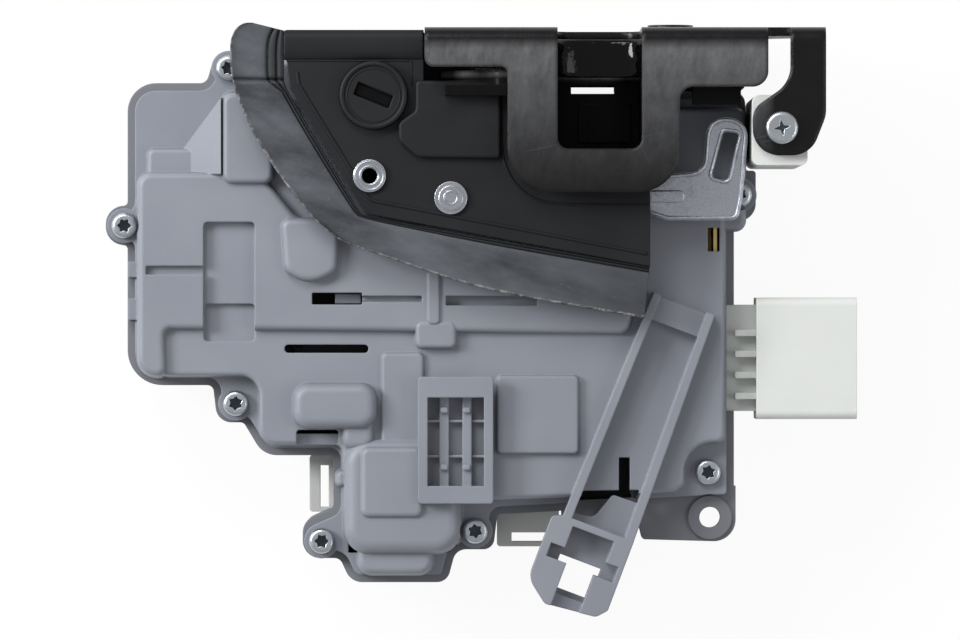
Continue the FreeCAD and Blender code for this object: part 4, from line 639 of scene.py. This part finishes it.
def rotor_rings():
    """Raised collar, turned ring, and a black sheet on the slot floor in the rotor's face that paints shade
    there.
    """
    centre, top = middle("child_lock_rotor"), level("child_lock_rotor")
    for name, radius, wide, high in (("rotor_collar", 7.1, 1.2, 0.45), ("rotor_ring", 6.0, 0.35, 0.2)):
        bead(name, ring_path(centre, radius, 72), wide, high, top, "panel_black", "child_lock", True)
    tilt = math.radians(ROTOR_TILT)
    turn = np.array([(math.cos(tilt), math.sin(tilt)), (-math.sin(tilt), math.cos(tilt))])
    # A black sheet just above the slot's floor: painted shade in the slot
    floor = centre + rectangle(4.2, 1.3) @ turn
    low, high = top - ROTOR_SLOT_DEEP - FOOT, top - ROTOR_SLOT_DEEP + 0.4
    slab("rotor_slot_shade", floor, low, high, 0.1, "panel_black", "child_lock", "inner_black")


def rivet_details():
    """Pressed lip round the hollow rivet's bore, its turned edge, and the struck ring on the solid one."""
    for node, name, radius, wide, high in (("hollow_rivet", "hollow_rivet_lip", 2.15, 0.5, 0.22),
                                           ("hollow_rivet", "hollow_rivet_edge", 3.2, 0.5, 0.14),
                                           ("solid_rivet", "solid_rivet_ring", 1.5, 0.5, 0.12)):
        ring = ring_path(middle(node), radius, 48)
        bead(name, ring, wide, high, level(node), "zinc_steel", "housing", True)


def clip_hooks():
    """Four small hooks on the bars of the clip frame, which lie below its flange."""
    below_flange, tall = 4.6, 2.6
    foot = level("clip_frame") - below_flange
    for column, x in enumerate((-8.1, -3.0)):
        for row, y in enumerate((-20.6, -33.6)):
            hook = path_points(rectangle(0.9, 0.7) + (x, y), [0.5] * 4, True)
            slab(f"clip_hook_{column}_{row}", hook, foot, foot + tall, 0.35, "cover_grey", "housing")


def lay_floor():
    """Pale floor just under the part: the camera sees it as a white glow with a little of the shadow."""
    bpy.ops.mesh.primitive_plane_add(size=3.0, location=(0, 0, -0.5 * MM))
    floor = bpy.context.object
    floor.name = "floor"
    pale = Finish("floor_pale", (0.8, 0.8, 0.8), 0.9)
    floor.data.materials.append(pale.material)
    glow_share = 0.93
    seen = Value(pale, pale.node("ShaderNodeLightPath", {}, {}, "Is Camera Ray"))
    glow = pale.node("ShaderNodeEmission", {}, {"Strength": 1.0})
    both = {0: seen * glow_share, 1: pale.shader.outputs[0], 2: glow}
    mixed = pale.node("ShaderNodeMixShader", {}, both)
    pale.tree.links.new(mixed, pale.tree.nodes["Material Output"].inputs["Surface"])


def light_studio():
    """Even white world and three soft lamps that face the part."""
    scene = bpy.context.scene
    scene.world = bpy.data.worlds.new("studio")
    scene.world.use_nodes = True
    background = scene.world.node_tree.nodes["Background"]
    background.inputs["Color"].default_value = (1.0, 1.0, 1.0, 1.0)
    background.inputs["Strength"].default_value = 0.47
    for name, at, wide, power in (("lamp_top", (-0.35, 0.7, 0.75), 0.45, 6.0),
                                  ("lamp_left", (-0.85, 0.3, 0.6), 0.35, 10.5),
                                  ("lamp_right", (0.75, -0.1, 0.7), 0.5, 2.0)):
        data = bpy.data.lights.new(name, "AREA")
        data.energy = power
        data.size = wide
        lamp = bpy.data.objects.new(name, data)
        lamp.location = at
        lamp.rotation_euler = (-Vector(at)).to_track_quat("-Z", "Y").to_euler()
        scene.collection.objects.link(lamp)


def set_camera():
    """Camera straight above the part, with the photograph's width in view, and plain colours."""
    scene = bpy.context.scene
    data = bpy.data.cameras.new("camera")
    data.sensor_width = SENSOR_WIDE
    data.lens = SENSOR_WIDE * (CAMERA_HIGH - FOCUS_LEVEL) / PHOTO_WIDE
    data.clip_end = 20.0
    camera = bpy.data.objects.new("camera", data)
    camera.location = (0.0, 0.0, CAMERA_HIGH)
    scene.collection.objects.link(camera)
    scene.camera = camera
    scene.view_settings.view_transform = "Standard"


dress_nodes()
rubber_lip()
panel_details()
throat_saddle()
lever_details()
rotor_rings()
rivet_details()
clip_hooks()
lay_floor()
light_studio()
set_camera()
